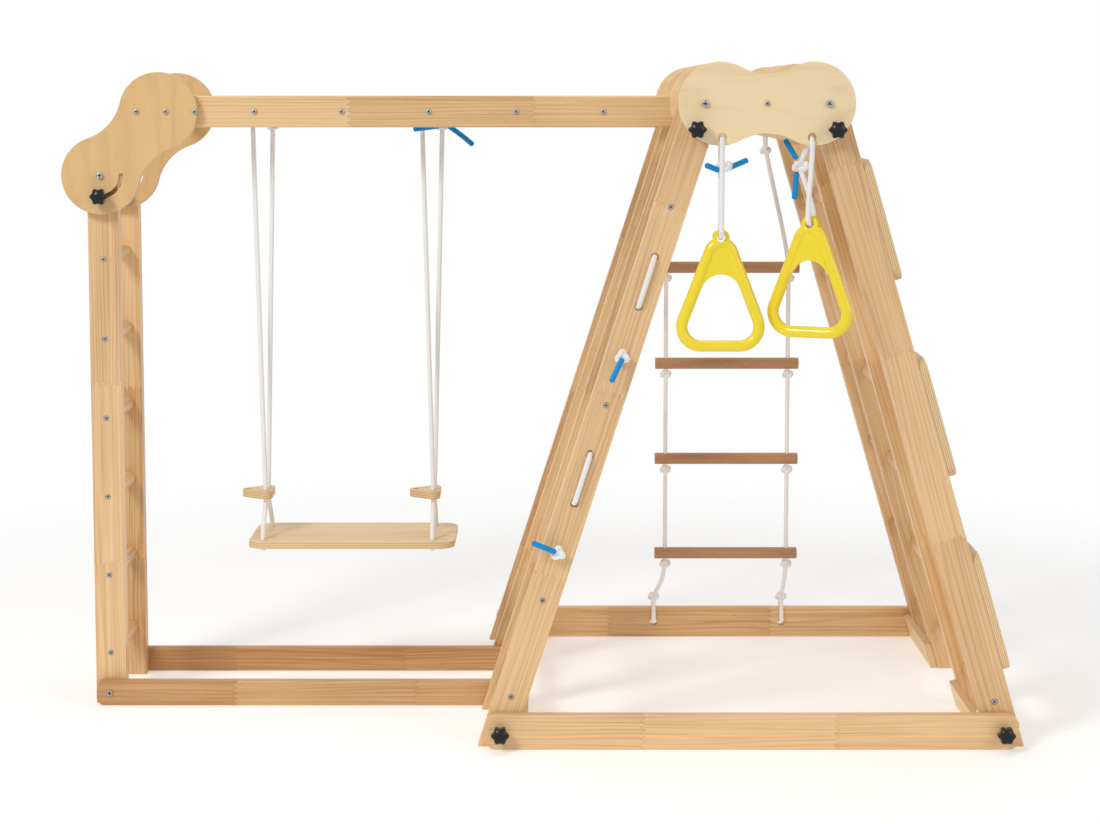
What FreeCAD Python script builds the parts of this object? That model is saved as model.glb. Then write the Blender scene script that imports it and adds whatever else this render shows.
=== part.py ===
"""Indoor playset: an A-frame of four rails a side, monkey bars, an end ladder, a swing, rings, a rope ladder.

Millimetres, +X towards the climbing wall, +Y to the rear, +Z up, floor at Z = 0.
"""
import FreeCAD, Part
import math
import os
import re

Vec = FreeCAD.Vector
UP = Vec(0, 0, 1)
ALONG_X = Vec(1, 0, 0)
ALONG_Y = Vec(0, 1, 0)

doc = FreeCAD.newDocument("playset")

SIZES = {
    # A-frame
    "frame_x": 385.65, "foot_span": 902.0, "hub_offset": 17.0, "pivot_gap": 212.0, "pivot_z": 1128.0,
    "rail_w": 58.0, "rail_t": 28.0, "bay_pitch": 235.0, "rung_first": 186.0, "rung_pitch": 181.0,
    "dowel_d": 28.0, "brace_t": 12.0, "brace_tall": 50.0,
    # hub and hinge plates
    "plate_t": 18.0, "lobe_r": 71.5, "lobe_gap": 160.0, "waist_half": 51.0, "running_gap": 1.0,
    "rope_hole_x": 77.0, "rope_hole_edge": 14.5, "knob_edge": 25.5, "hinge_turn": 47.4,
    "slot_edge": 33.5, "slot_w": 8.0,
    # beam and end ladder
    "beam_z": 1112.0, "beam_tall": 58.0, "beam_t": 28.0, "beam_inside": 180.0, "beam_past_hub": 60.0,
    "beam_end": 62.0, "bar_first": 122.4, "bar_pitch": 160.5, "ladder_x": -795.35, "ladder_pivot_z": 995.0,
    "upright_w": 56.0, "upright_t": 27.0, "step_first": 97.0, "step_pitch": 148.5, "step_d": 26.0,
    # floor rails
    "base_tall": 62.0, "base_t": 20.0, "base_end": 17.0, "base_round": 20.0, "base_knob_z": 31.0,
    "low_tall": 48.0, "low_t": 18.0, "low_end": 25.0, "low_round": 15.0, "low_bolt_z": 24.0,
    "tie_hole_x": 135.0,
    # climbing boards
    "board_first": 220.0, "board_pitch": 358.5, "board_tall": 216.0, "board_t": 15.0, "board_round": 24.0,
    # ropes and fixings
    "rope_d": 9.0, "rope_hole_d": 15.0, "knot_r": 11.0, "rope_sweep": 45.0,
    "bolt_d": 8.0, "bolt_head_d": 12.0, "bolt_head_tall": 4.0, "screw_head_d": 9.5, "screw_head_tall": 2.5,
    "pin_clear": 0.5, "knob_gap": 0.3, "stud_d": 6.0, "knob_r": 10.5, "knob_lobe_r": 5.5, "knob_tall": 20.0,
    "collar_r": 8.0, "collar_tall": 12.0,
    # swing
    "seat_past": 34.5, "seat_deep": 200.0, "seat_t": 12.0, "seat_z": 303.0, "seat_shift": 8.0,
    "seat_round": 32.0, "seat_hole_y": 74.0, "spacer_z": 374.0, "spacer_t": 15.0, "spacer_hole_y": 20.0,
    "spacer_half": 24.0, "spacer_apex": 34.0, "spacer_edge": 12.6,
    "bar_knot_drop": 25.0, "rope_ease": 1.0,
    # rings
    "ring_half": 82.0, "ring_drop": 194.0, "ring_tube": 20.0, "ring_corner": 34.0, "ring_eye_r": 20.0,
    "ring_left_drop": 166.0, "ring_right_drop": 142.0, "ring_right_turn": 24.0, "web_t": 14.0,
    "ring_knot_drop": 33.0, "ring_web": 69.5, "ring_lug_r": 14.5,
    "ring_left_aside": 0.0, "ring_right_aside": 17.0,
    # rope ladder
    "rope_rung_d": 24.0, "rope_rung_long": 300.0, "rope_rung_top": 345.0, "rope_rung_pitch": 202.0,
    "rope_rung_inset": 22.0,
}

sheet = doc.addObject("Spreadsheet::Sheet", "sizes")
for row, (alias, number) in enumerate(SIZES.items(), start=1):
    cell = "B%d" % row
    sheet.set("A%d" % row, alias)
    sheet.set(cell, str(number))
    sheet.setAlias(cell, alias)
doc.recompute()

# Lengths that follow from the driving sizes
DERIVED = {
    "hub_x": "(frame_x + hub_offset)",
    "left_pivot_x": "(frame_x + hub_offset - pivot_gap / 2)",
    "right_pivot_x": "(frame_x + hub_offset + pivot_gap / 2)",
    "left_tilt": "atan((foot_span / 2 + hub_offset - pivot_gap / 2) / pivot_z)",
    "right_tilt": "atan((foot_span / 2 - hub_offset - pivot_gap / 2) / pivot_z)",
    "beam_face": "(beam_inside / 2 + beam_t)",
    "inner_face": "(beam_inside / 2 + beam_t + plate_t + running_gap)",
    "outer_face": "(beam_inside / 2 + beam_t + plate_t + running_gap + bay_pitch + rail_t)",
    "rope_hole_drop": "(lobe_r - rope_hole_edge)",
    "knob_drop": "(lobe_r - knob_edge)",
    "slot_r": "(lobe_r - slot_edge)",
}
ALIAS = re.compile(r"\b(%s)\b" % "|".join(SIZES))
NAMED = re.compile(r"\b(%s)\b" % "|".join(DERIVED))


def formula(text):
    """The sheet expression for a formula written in plain size names."""
    return ALIAS.sub(r"sizes.\1", NAMED.sub(lambda hit: DERIVED[hit.group(1)], str(text)))


def value(text):
    """The number that a formula gives now."""
    number = sheet.evalExpression(formula(text))
    return float(getattr(number, "Value", number))


def bind(obj, **formulas):
    for prop, text in formulas.items():
        obj.setExpression(prop.replace("__", "."), formula(text))
    return obj


def place(obj, x=0, y=0, z=0, turn=None, axis=ALONG_Y):
    """Set an object's place, and its turn about one axis, by formulas."""
    obj.Placement = FreeCAD.Placement(Vec(), FreeCAD.Rotation(axis, 1.0))
    bind(obj, Placement__Base__x=x, Placement__Base__y=y, Placement__Base__z=z)
    bind(obj, Placement__Rotation__Angle=turn if turn is not None else 0)
    return obj


def block(name, long, deep, tall, x, y, z, turn=None):
    box = doc.addObject("Part::Box", name)
    bind(box, Length=long, Width=deep, Height=tall)
    return place(box, x, y, z, turn)


def rod_y(name, diameter, start, end, x, z):
    """A round bar along Y between two depths."""
    rod = doc.addObject("Part::Cylinder", name)
    bind(rod, Radius="(%s) / 2" % diameter, Height="(%s) - (%s)" % (end, start))
    rod.Placement = FreeCAD.Placement(Vec(), FreeCAD.Rotation(ALONG_X, -90))
    return bind(rod, Placement__Base__x=x, Placement__Base__y=start, Placement__Base__z=z)


def fuse(name, pieces):
    joined = doc.addObject("Part::MultiFuse", name)
    joined.Shapes = pieces
    return joined


def group(name, pieces):
    bundle = doc.addObject("Part::Compound", name)
    bundle.Links = pieces
    return bundle


def cut(name, base, tools):
    result = doc.addObject("Part::Cut", name)
    result.Base = base
    result.Tool = tools[0] if len(tools) == 1 else group(name + "_tools", tools)
    return result


def solid(name, shape):
    piece = doc.addObject("Part::Feature", name)
    piece.Shape = shape
    return piece


NODES = {}


def node(name, obj):
    """Name a finished sub-part, which is written to a file of that name."""
    obj.Label = name
    NODES[name] = obj
    return obj


LEGS = {"left": ("left_pivot_x", "left_tilt", 1), "right": ("right_pivot_x", "right_tilt", -1)}
RUNGS_PER_LEG = 6


def on_leg(obj, side):
    """Carry an object made in a leg's own frame, with the pivot at the origin, to its leg."""
    pivot, tilt, sign = LEGS[side]
    return place(obj, pivot, 0, "pivot_z", tilt if sign > 0 else "-" + tilt)


def rung_drop(index):
    return "(rung_first + %d * rung_pitch)" % index


# Near and far face of the four rails, front to rear
RAIL_FACES = [
    ("-outer_face", "-outer_face + rail_t"), ("-inner_face - rail_t", "-inner_face"),
    ("inner_face", "inner_face + rail_t"), ("outer_face - rail_t", "outer_face")]
BAYS = [(RAIL_FACES[i][1], RAIL_FACES[i + 1][0]) for i in range(3)]
NET_LEVELS = [0.5, 1.0, 1.5, 2.5, 3.0, 3.5]


def net_drop(level):
    return "(rung_first + %s * rung_pitch)" % level


def leg_rail(side, number):
    """A rail with a round head on its pivot, cut level at the floor."""
    near, far = RAIL_FACES[number - 1]
    name = "%s_rail_%d" % (side, number)
    tilt = LEGS[side][1]
    sign = LEGS[side][2]
    reach = "(pivot_z / cos(%s) + rail_w)" % tilt
    bar = block(name + "_bar", "rail_w", "rail_t", reach, "-rail_w / 2", near, "-" + reach)
    head = rod_y(name + "_head", "rail_w", near, far, 0, 0)
    size = "3 * rail_w"
    over = "%s * cos(%s)" % (size, tilt)
    aside = "%s * sin(%s)" % (size, tilt)
    towards, away, turn = ("+", "-", "-" + tilt) if sign > 0 else ("-", "+", tilt)
    below = block(name + "_below", "2 * " + size, "2 * outer_face", size,
                  "-%s %s %s" % (over, towards, aside), "-outer_face",
                  "-pivot_z / cos(%s) %s %s - %s" % (tilt, away, aside, over), turn)
    tools = [below, rod_y(name + "_pivot", "bolt_d + 2 * pin_clear", near, far, 0, 0)]
    if side == "left" and number < 3:
        for index, level in enumerate(NET_LEVELS):
            tools.append(rod_y("%s_net_%d" % (name, index), "rope_hole_d", near, far, 0,
                               "-" + net_drop(level)))
    for index in screwed_rungs(side, number):
        start, end = head_span(number)
        tools.append(rod_y("%s_pocket_%d" % (name, index), "screw_head_d + 2 * pin_clear", start, end, 0,
                           "-" + rung_drop(index)))
    return node(name, on_leg(cut(name + "_cut", fuse(name + "_blank", [bar, head]), tools), side))


# Which rungs each leg has in its front, middle and rear bay; the net takes the others' place
LEG_RUNGS = {"left": ([0, 2, 4, 5], [0, 2, 4, 5], range(RUNGS_PER_LEG)),
             "right": ([RUNGS_PER_LEG - 1], range(RUNGS_PER_LEG), range(RUNGS_PER_LEG))}


def screwed_rungs(side, number):
    """The rungs whose screws show on a rail: none on the third; on the second, those clear in front."""
    front, middle, rear = LEG_RUNGS[side]
    return {1: front, 2: [index for index in middle if index not in front], 3: [], 4: rear}[number]


def head_span(number):
    """From where to where a screw's head is sunk in a rail's face."""
    near, far = RAIL_FACES[number - 1]
    return (far + " - screw_head_tall", far) if number == 4 else (near, near + " + screw_head_tall")


def leg_rungs(side):
    """Dowels between neighbouring rails, face to face, each held by a screw through the rail."""
    rungs = []
    heads = []
    for bay, indices in enumerate(LEG_RUNGS[side]):
        near, far = BAYS[bay]
        for index in indices:
            drop = "-" + rung_drop(index)
            rungs.append(rod_y("%s_rung_%d_%d" % (side, bay, index), "dowel_d", near, far, 0, drop))
    for number in (1, 2, 4):
        start, end = head_span(number)
        for index in screwed_rungs(side, number):
            heads.append(rod_y("%s_screw_%d_%d" % (side, number, index), "screw_head_d", start, end, 0,
                               "-" + rung_drop(index)))
    node(side + "_rungs", on_leg(group(side + "_rung_group", rungs), side))
    node(side + "_screws", on_leg(group(side + "_screw_group", heads), side))


def foot_braces(side):
    """Plywood strips across the inner edges of the rails at the floor, in the outer bays."""
    tilt, sign = LEGS[side][1:]
    strips = []
    for index, (start, end) in enumerate(((0, 1), (2, 3))):
        near = RAIL_FACES[start][0]
        far = RAIL_FACES[end][1]
        across = "rail_w / 2" if sign > 0 else "-rail_w / 2 - brace_t"
        foot = "-pivot_z / cos(%s) + (rail_w / 2 + brace_t) * tan(%s)" % (tilt, tilt)
        strips.append(block("%s_brace_%d" % (side, index), "brace_t", "(%s) - (%s)" % (far, near),
                            "brace_tall", across, near, foot))
    node(side + "_foot_braces", on_leg(group(side + "_brace_group", strips), side))


def rounded_panel(long, tall, thick, radius):
    """A panel in X and Z with round corners, its near face at Y = 0, its lower left corner at the origin."""
    turn = math.sqrt(0.5)
    corners = ((radius, radius, -1, -1), (long - radius, radius, 1, -1),
               (long - radius, tall - radius, 1, 1), (radius, tall - radius, -1, 1))
    path = []
    for index, (x, z, right, top) in enumerate(corners):
        beside = Vec(x + right * radius, 0, z)
        above = Vec(x, 0, z + top * radius)
        middle = Vec(x + right * turn * radius, 0, z + top * turn * radius)
        path.append((beside, middle, above) if index in (0, 2) else (above, middle, beside))
    edges = []
    for index, (enter, middle, leave) in enumerate(path):
        edges.append(Part.Arc(enter, middle, leave).toShape())
        edges.append(Part.LineSegment(leave, path[(index + 1) % 4][0]).toShape())
    return Part.Face(Part.Wire(edges)).extrude(Vec(0, thick, 0))


def bore_y(shape, x, z, diameter, thick):
    """Drill a hole along Y right through a panel."""
    return shape.cut(Part.makeCylinder(diameter / 2, thick * 3, Vec(x, -thick, z), ALONG_Y))


def bore_z(shape, x, y, low, diameter, thick):
    """Drill a hole along Z right through a panel or dowel whose lower side is at a height."""
    return shape.cut(Part.makeCylinder(diameter / 2, thick * 3, Vec(x, y, low - thick), UP))


def peanut(thick):
    """The two-lobed plate: lobes on the X axis joined by a tangent waist, its near face at Y = 0."""
    radius = value("lobe_r")
    half = value("lobe_gap") / 2
    waist = value("waist_half")
    hollow = (half ** 2 + waist ** 2 - radius ** 2) / (2 * (radius - waist))
    share = radius / (radius + hollow)
    touch_x = half * (1 - share)
    touch_z = (waist + hollow) * share
    right_top = Vec(touch_x, 0, touch_z)
    right_low = Vec(touch_x, 0, -touch_z)
    left_top = Vec(-touch_x, 0, touch_z)
    left_low = Vec(-touch_x, 0, -touch_z)
    edges = [Part.Arc(right_top, Vec(half + radius, 0, 0), right_low).toShape(),
             Part.Arc(right_low, Vec(0, 0, -waist), left_low).toShape(),
             Part.Arc(left_low, Vec(-half - radius, 0, 0), left_top).toShape(),
             Part.Arc(left_top, Vec(0, 0, waist), right_top).toShape()]
    return Part.Face(Part.Wire(edges)).extrude(Vec(0, thick, 0))


def knob_spot(side):
    """Where a hub knob stands, from the hub's centre."""
    pivot, tilt, sign = LEGS[side]
    angle = math.radians(value(tilt))
    drop = value("knob_drop")
    return -sign * (value("pivot_gap") / 2 + drop * math.sin(angle)), -drop * math.cos(angle)


HUB_LAYERS = {
    "hub_plate_front": "-outer_face - running_gap - plate_t", "hub_plate_mid_front": "-beam_face - plate_t",
    "hub_plate_mid_rear": "beam_face", "hub_plate_rear": "outer_face + running_gap"}


def hub_plates():
    thick = value("plate_t")
    for name, near in HUB_LAYERS.items():
        plate = peanut(thick)
        for side in (-1, 1):
            plate = bore_y(plate, side * value("pivot_gap") / 2, 0, value("bolt_d"), thick)
        if name in ("hub_plate_front", "hub_plate_rear"):
            for side in ("left", "right"):
                x, z = knob_spot(side)
                plate = bore_y(plate, x, z, value("stud_d + 2 * pin_clear"), thick)
            for side in (-1, 1):
                plate = bore_y(plate, side * value("rope_hole_x"), -value("rope_hole_drop"),
                               value("rope_hole_d"), thick)
        node(name, place(solid(name + "_solid", plate), "hub_x", near, "pivot_z"))
    tie_front = rod_y("hub_tie_front", "dowel_d", "-outer_face - running_gap", "-beam_face - plate_t",
                      "hub_x", "pivot_z")
    tie_rear = rod_y("hub_tie_rear", "dowel_d", "beam_face + plate_t", "outer_face + running_gap",
                     "hub_x", "pivot_z")
    node("hub_crossbars", group("hub_crossbar_group", [tie_front, tie_rear]))


def pivot_bolt(head_face, away, reach):
    """A bolt along Y: its head stands away from the face at head_face, its shank goes the other way."""
    head_tall = value("bolt_head_tall")
    head_start = head_face - head_tall if away < 0 else head_face
    shank_start = head_face if away < 0 else head_face - reach
    head = Part.makeCylinder(value("bolt_head_d") / 2, head_tall, Vec(0, head_start, 0), ALONG_Y)
    shank = Part.makeCylinder(value("bolt_d") / 2, reach, Vec(0, shank_start, 0), ALONG_Y)
    return head.fuse(shank)


def hub_bolts():
    outer = value("outer_face + running_gap + plate_t")
    reach_outer = value("plate_t + running_gap + rail_t")
    inner = value("inner_face + rail_t + pin_clear")
    reach_inner = value("pin_clear + rail_t + running_gap + plate_t")
    bolts = []
    for pivot in ("left_pivot_x", "right_pivot_x"):
        for face, reach in ((outer, reach_outer), (inner, reach_inner)):
            for away in (-1, 1):
                bolt = pivot_bolt(away * face, away, reach)
                bolt.translate(Vec(value(pivot), 0, value("pivot_z")))
                bolts.append(bolt)
    for away in (-1, 1):
        face = away * outer
        start = face - value("screw_head_tall") if away < 0 else face
        bolts.append(Part.makeCylinder(value("screw_head_d") / 2, value("screw_head_tall"),
                                       Vec(value("hub_x"), start, value("pivot_z")), ALONG_Y))
    return bolts


BAR_COUNT = 7


def beam():
    """Two rails with the monkey bars between them."""
    start = "ladder_x + beam_end"
    long = "hub_x + beam_past_hub - ladder_x - beam_end"
    low = "beam_z - beam_tall / 2"
    node("beam_rail_front", block("beam_front", long, "beam_t", "beam_tall", start, "-beam_face", low))
    node("beam_rail_rear", block("beam_rear", long, "beam_t", "beam_tall", start, "beam_inside / 2", low))
    bars = []
    heads = []
    for index in range(BAR_COUNT):
        x = "ladder_x + bar_first + %d * bar_pitch" % index
        far = "beam_inside / 2 - plate_t" if index == 0 else "beam_inside / 2"
        bars.append(rod_y("bar_%d" % index, "dowel_d", "-beam_inside / 2", far, x, "beam_z"))
        face = "-beam_face - plate_t" if index == 0 else "-beam_face"
        hidden = index == BAR_COUNT - 1
        if not hidden:
            heads.append(rod_y("bar_screw_front_%d" % index, "screw_head_d",
                               face + " - screw_head_tall", face, x, "beam_z"))
            heads.append(rod_y("bar_screw_rear_%d" % index, "screw_head_d", "beam_face",
                               "beam_face + screw_head_tall", x, "beam_z"))
    for index, step in enumerate((-1, 1)):
        x = "ladder_x + bar_first %s bar_pitch / 3" % ("-" if step < 0 else "+")
        heads.append(rod_y("plate_screw_front_%d" % index, "screw_head_d",
                           "-beam_face - plate_t - screw_head_tall", "-beam_face - plate_t", x, "beam_z"))
    node("beam_bars", group("bar_group", bars))
    node("beam_screws", group("beam_screw_group", heads))


HINGE_LAYERS = {"hinge_plate_front": "-beam_face - plate_t", "hinge_plate_rear": "beam_inside / 2 - plate_t"}


def arc_slot(thick):
    """The quarter-round slot about the ladder's pivot that the lock stud runs in."""
    radius = value("slot_r")
    half = value("slot_w") / 2
    ring = Part.makeCylinder(radius + half, thick * 3, Vec(0, -thick, 0), ALONG_Y)
    ring = ring.cut(Part.makeCylinder(radius - half, thick * 3, Vec(0, -thick, 0), ALONG_Y))
    quarter = Part.makeBox(3 * radius, thick * 3, 3 * radius, Vec(0, -thick, -3 * radius))
    slot = ring.common(quarter)
    for end in (Vec(0, -thick, -radius), Vec(radius, -thick, 0)):
        slot = slot.fuse(Part.makeCylinder(half, thick * 3, end, ALONG_Y))
    return slot


def hinge_plates():
    """The plates that hold the end ladder to the beam: one lobe on the pivot, the other on the beam."""
    thick = value("plate_t")
    for name, near in HINGE_LAYERS.items():
        plate = peanut(thick)
        plate.translate(Vec(value("lobe_gap") / 2, 0, 0))
        plate.rotate(Vec(), ALONG_Y, -value("hinge_turn"))
        plate = bore_y(plate, 0, 0, value("bolt_d"), thick)
        plate = plate.cut(arc_slot(thick))
        node(name, place(solid(name + "_solid", plate), "ladder_x", near, "ladder_pivot_z"))
    bolts = []
    for face, reach in ((value("-beam_face - plate_t"), value("plate_t + beam_t")),
                        (value("beam_inside / 2 - plate_t"), value("plate_t + beam_t"))):
        bolt = pivot_bolt(face, -1, reach)
        bolt.translate(Vec(value("ladder_x"), 0, value("ladder_pivot_z")))
        bolts.append(bolt)
    node("pivot_bolts", solid("pivot_bolt_group", Part.makeCompound(hub_bolts() + bolts)))


STEP_COUNT = 6


def end_ladder():
    """Two uprights with round heads on the hinge bolts, and their steps."""
    middle = "(beam_inside + beam_t) / 2"
    for name, side in (("ladder_upright_front", "-"), ("ladder_upright_rear", "")):
        near = "%s%s - upright_t / 2" % (side, middle)
        far = "%s%s + upright_t / 2" % (side, middle)
        bar = block(name + "_bar", "upright_w", "upright_t", "ladder_pivot_z", "-upright_w / 2", near,
                    "-ladder_pivot_z")
        head = rod_y(name + "_head", "upright_w", near, far, 0, 0)
        tools = [rod_y(name + "_pivot", "bolt_d + 2 * pin_clear", near, far, 0, 0),
                 rod_y(name + "_lock", "stud_d + 2 * pin_clear", near, far, 0, "-slot_r")]
        pocket = (near, near + " + screw_head_tall") if side else (far + " - screw_head_tall", far)
        for index in range(STEP_COUNT):
            tools.append(rod_y("%s_pocket_%d" % (name, index), "screw_head_d + 2 * pin_clear", *pocket, 0,
                               "step_first + %d * step_pitch - ladder_pivot_z" % index))
        node(name, place(cut(name + "_cut", fuse(name + "_blank", [bar, head]), tools),
                         "ladder_x", 0, "ladder_pivot_z"))
    steps = []
    heads = []
    inner = "(beam_inside + beam_t - upright_t) / 2"
    outer = "(beam_inside + beam_t + upright_t) / 2"
    for index in range(STEP_COUNT):
        z = "step_first + %d * step_pitch" % index
        steps.append(rod_y("step_%d" % index, "step_d", "-" + inner, inner, "ladder_x", z))
        heads.append(rod_y("step_screw_front_%d" % index, "screw_head_d", "-" + outer,
                           "-%s + screw_head_tall" % outer, "ladder_x", z))
        heads.append(rod_y("step_screw_rear_%d" % index, "screw_head_d", "%s - screw_head_tall" % outer,
                           outer, "ladder_x", z))
    node("ladder_steps", group("step_group", steps))
    node("ladder_screws", group("step_screw_group", heads))


def base_rails():
    """The long floor rails across the feet of the A-frame."""
    long = value("foot_span + 2 * base_end")
    thick = value("base_t")
    for name, near in (("base_rail_front", "-outer_face - running_gap - base_t"),
                       ("base_rail_rear", "outer_face + running_gap")):
        rail = rounded_panel(long, value("base_tall"), thick, value("base_round"))
        for side in ("left", "right"):
            spot = base_knob_x(side) - value("frame_x") + long / 2
            rail = bore_y(rail, spot, value("base_knob_z"), value("stud_d + 2 * pin_clear"), thick)
        if name == "base_rail_rear":
            for side in (-1, 1):
                rail = bore_y(rail, long / 2 + side * value("tie_hole_x"), value("base_tall") / 2,
                              value("rope_hole_d"), thick)
        node(name, place(solid(name + "_solid", rail), "frame_x - foot_span / 2 - base_end", near, 0))
    washers = []
    for away in (-1, 1):
        start = value("outer_face") if away > 0 else -value("outer_face + running_gap")
        disc = Part.makeCylinder(value("collar_r"), value("running_gap"), Vec(), ALONG_Y)
        washer = bore_y(disc, 0, 0, value("stud_d + 2 * pin_clear"), value("running_gap"))
        washer.translate(Vec(base_knob_x("left"), start, value("base_knob_z")))
        washers.append(washer)
    node("base_washers", solid("base_washer_group", Part.makeCompound(washers)))


def base_knob_x(side):
    """A foot knob stands on its rail's own axis."""
    pivot, tilt, sign = LEGS[side]
    drop = value("pivot_z") - value("base_knob_z")
    return value(pivot) - sign * drop * math.tan(math.radians(value(tilt)))


def low_bolt_x():
    pivot, tilt, sign = LEGS["left"]
    drop = value("pivot_z") - value("low_bolt_z")
    return value(pivot) - sign * drop * math.tan(math.radians(value(tilt)))


def ladder_base():
    """The two low rails from the end ladder's foot to the middle rails of the left leg."""
    thick = value("low_t")
    start = value("ladder_x - low_end")
    long = low_bolt_x() + value("low_round") - start
    bolts = []
    for name, near, away in (("low_rail_front", "-beam_face - low_t", -1),
                             ("low_rail_rear", "beam_face", 1)):
        rail = rounded_panel(long, value("low_tall"), thick, value("low_round"))
        node(name, place(solid(name + "_solid", rail), "ladder_x - low_end", near, 0))
        face = away * value("beam_face + low_t")
        tall = value("screw_head_tall")
        head_start = face - tall if away < 0 else face
        bolts.append(Part.makeCylinder(value("bolt_head_d") / 2, tall,
                                       Vec(value("ladder_x"), head_start, value("low_bolt_z")), ALONG_Y))
    node("low_rail_bolts", solid("low_bolt_group", Part.makeCompound(bolts)))


BOARD_COUNT = 3


def climbing_boards():
    """Plywood boards across the outer edges of the right leg's front bay."""
    deep = value("-inner_face + outer_face")
    tall = value("board_tall")
    thick = value("board_t")
    boards = []
    for index in range(BOARD_COUNT):
        board = rounded_panel(deep, tall, thick, value("board_round"))
        board.rotate(Vec(), UP, 90)
        board.translate(Vec(value("rail_w") / 2 + thick, -value("outer_face"),
                            -value("board_first") - index * value("board_pitch") - tall / 2))
        boards.append(board)
    node("climbing_boards", on_leg(solid("climbing_board_group", Part.makeCompound(boards)), "right"))


# A straight run shorter than this has no length between its two arcs
TOUCHING = 1e-6


def route_wire(points, radii):
    """Straight runs joined by a tangent arc at each inner point, of the radius listed for it."""
    edges = []
    last = points[0]
    for before, corner, after, radius in zip(points, points[1:], points[2:], radii):
        back = before - corner
        ahead = after - corner
        half = (math.pi - back.getAngle(ahead)) / 2
        reach = radius * math.tan(half)
        back.normalize()
        ahead.normalize()
        enter = corner + back * reach
        leave = corner + ahead * reach
        bisector = back + ahead
        bisector.normalize()
        middle = corner + bisector * (radius / math.cos(half) - radius)
        if (enter - last).Length > TOUCHING:
            edges.append(Part.LineSegment(last, enter).toShape())
        edges.append(Part.Arc(enter, middle, leave).toShape())
        last = leave
    edges.append(Part.LineSegment(last, points[-1]).toShape())
    return Part.Wire(edges)


def rope(name, points, radii, knots):
    """A round rope along a route, with a ball of a knot at each listed point."""
    wire = route_wire(points, radii)
    radius = value("rope_d") / 2
    direction = points[1] - points[0]
    section = Part.Wire([Part.makeCircle(radius, points[0], direction)])
    tube = wire.makePipeShell([section], True, False)
    expected = math.pi * radius ** 2 * wire.Length
    print("%s: length %.0f, least bend %.1f, volume ratio %.4f" %
          (name, wire.Length, min(radii), tube.Volume / expected))
    for spot in knots:
        tube = tube.fuse(Part.makeSphere(value("knot_r"), spot))
    return solid(name + "_tube", tube)


SWING_BARS = (1, 3)


def swing():
    """A seat on two rope loops, each tied over a bar, spread by a triangle and led under the seat."""
    xs = [value("ladder_x + bar_first + %d * bar_pitch" % index) for index in SWING_BARS]
    seat_x = (xs[0] + xs[1]) / 2 + value("seat_shift")
    long = xs[1] - xs[0] + 2 * value("seat_past")
    deep = value("seat_deep")
    thick = value("seat_t")
    seat = rounded_panel(long, deep, thick, value("seat_round"))
    seat.rotate(Vec(), ALONG_X, -90)
    seat.translate(Vec(seat_x - long / 2, -deep / 2, value("seat_z")))
    for x in xs:
        for side in (-1, 1):
            seat = bore_z(seat, x, side * value("seat_hole_y"), value("seat_z - seat_t"),
                          value("rope_d + 4 * pin_clear"), thick)
    node("swing_seat", solid("swing_seat_solid", seat))
    node("swing_spacers", solid("swing_spacer_group", Part.makeCompound([spacer(x) for x in xs])))
    reach = value("dowel_d / 2 + rope_d / 2 + pin_clear")
    side = reach + value("rope_ease")
    top = value("beam_z") + reach
    mid = value("spacer_z - rope_d / 2")
    mid_y = value("spacer_hole_y")
    seat_top = value("seat_z + rope_d")
    seat_y = value("seat_hole_y")
    under = value("seat_z - seat_t - rope_d / 2 - pin_clear")
    tight = value("rope_d")
    bend = 2 * tight
    for name, x in zip(("swing_rope_left", "swing_rope_right"), xs):
        knot = Vec(x + side, 0, value("beam_z - bar_knot_drop"))
        points = [knot, Vec(x + side, 0, top), Vec(x - side, 0, top), Vec(x, -mid_y, mid),
                  Vec(x, -seat_y, seat_top), Vec(x, -seat_y, under), Vec(x, seat_y, under),
                  Vec(x, seat_y, seat_top), Vec(x, mid_y, mid), knot - Vec(0, 0, value("knot_r"))]
        node(name, rope(name, points, [reach, reach, bend, bend, tight, tight, bend, bend], [knot]))


def spacer(x):
    """A triangle with round corners and three holes, two of them for the rope's strands."""
    thick = value("spacer_t")
    hole_y = value("spacer_hole_y")
    edge = value("spacer_edge")
    low = value("spacer_z")
    half = value("spacer_half")
    apex = Vec(x - value("spacer_apex"), 0, low)
    centres = (Vec(x, half, low), apex, Vec(x, -half, low))
    plate = Part.Face(Part.makePolygon(centres + (centres[0],))).extrude(Vec(0, 0, thick))
    for index, centre in enumerate(centres):
        plate = plate.fuse(Part.makeCylinder(edge, thick, centre, UP))
        run = centres[(index + 1) % 3] - centre
        side = run.cross(UP)
        side.normalize()
        strip = Part.makePolygon([centre + side * edge, centre + run + side * edge, centre + run, centre,
                                  centre + side * edge])
        plate = plate.fuse(Part.Face(strip).extrude(Vec(0, 0, thick)))
    plate = plate.removeSplitter()
    for hole_x, y in ((x, -hole_y), (x, hole_y), (apex.x, 0)):
        plate = bore_z(plate, hole_x, y, low, value("rope_d + 4 * pin_clear"), thick)
    return plate


def grip_web(slope, eye, tube, thick):
    """The sheet between a grip's two sides, from its eye down to an arch that is tangent to both sides."""
    share = math.sin(math.atan(slope))
    middle = (tube - value("ring_web") - eye * share) / (1 - share)
    arch_r = -value("ring_web") - middle
    end = middle + arch_r * share
    top = slope * 2 * eye
    low = slope * (eye - end)
    corners = [Vec(-top, -thick / 2, -eye), Vec(top, -thick / 2, -eye), Vec(low, -thick / 2, end),
               Vec(-low, -thick / 2, end)]
    sheet_face = Part.Face(Part.makePolygon(corners + corners[:1]))
    arch = Part.makeCylinder(arch_r, 2 * thick, Vec(0, -thick, middle), ALONG_Y)
    return sheet_face.extrude(Vec(0, thick, 0)).cut(arch)


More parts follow.
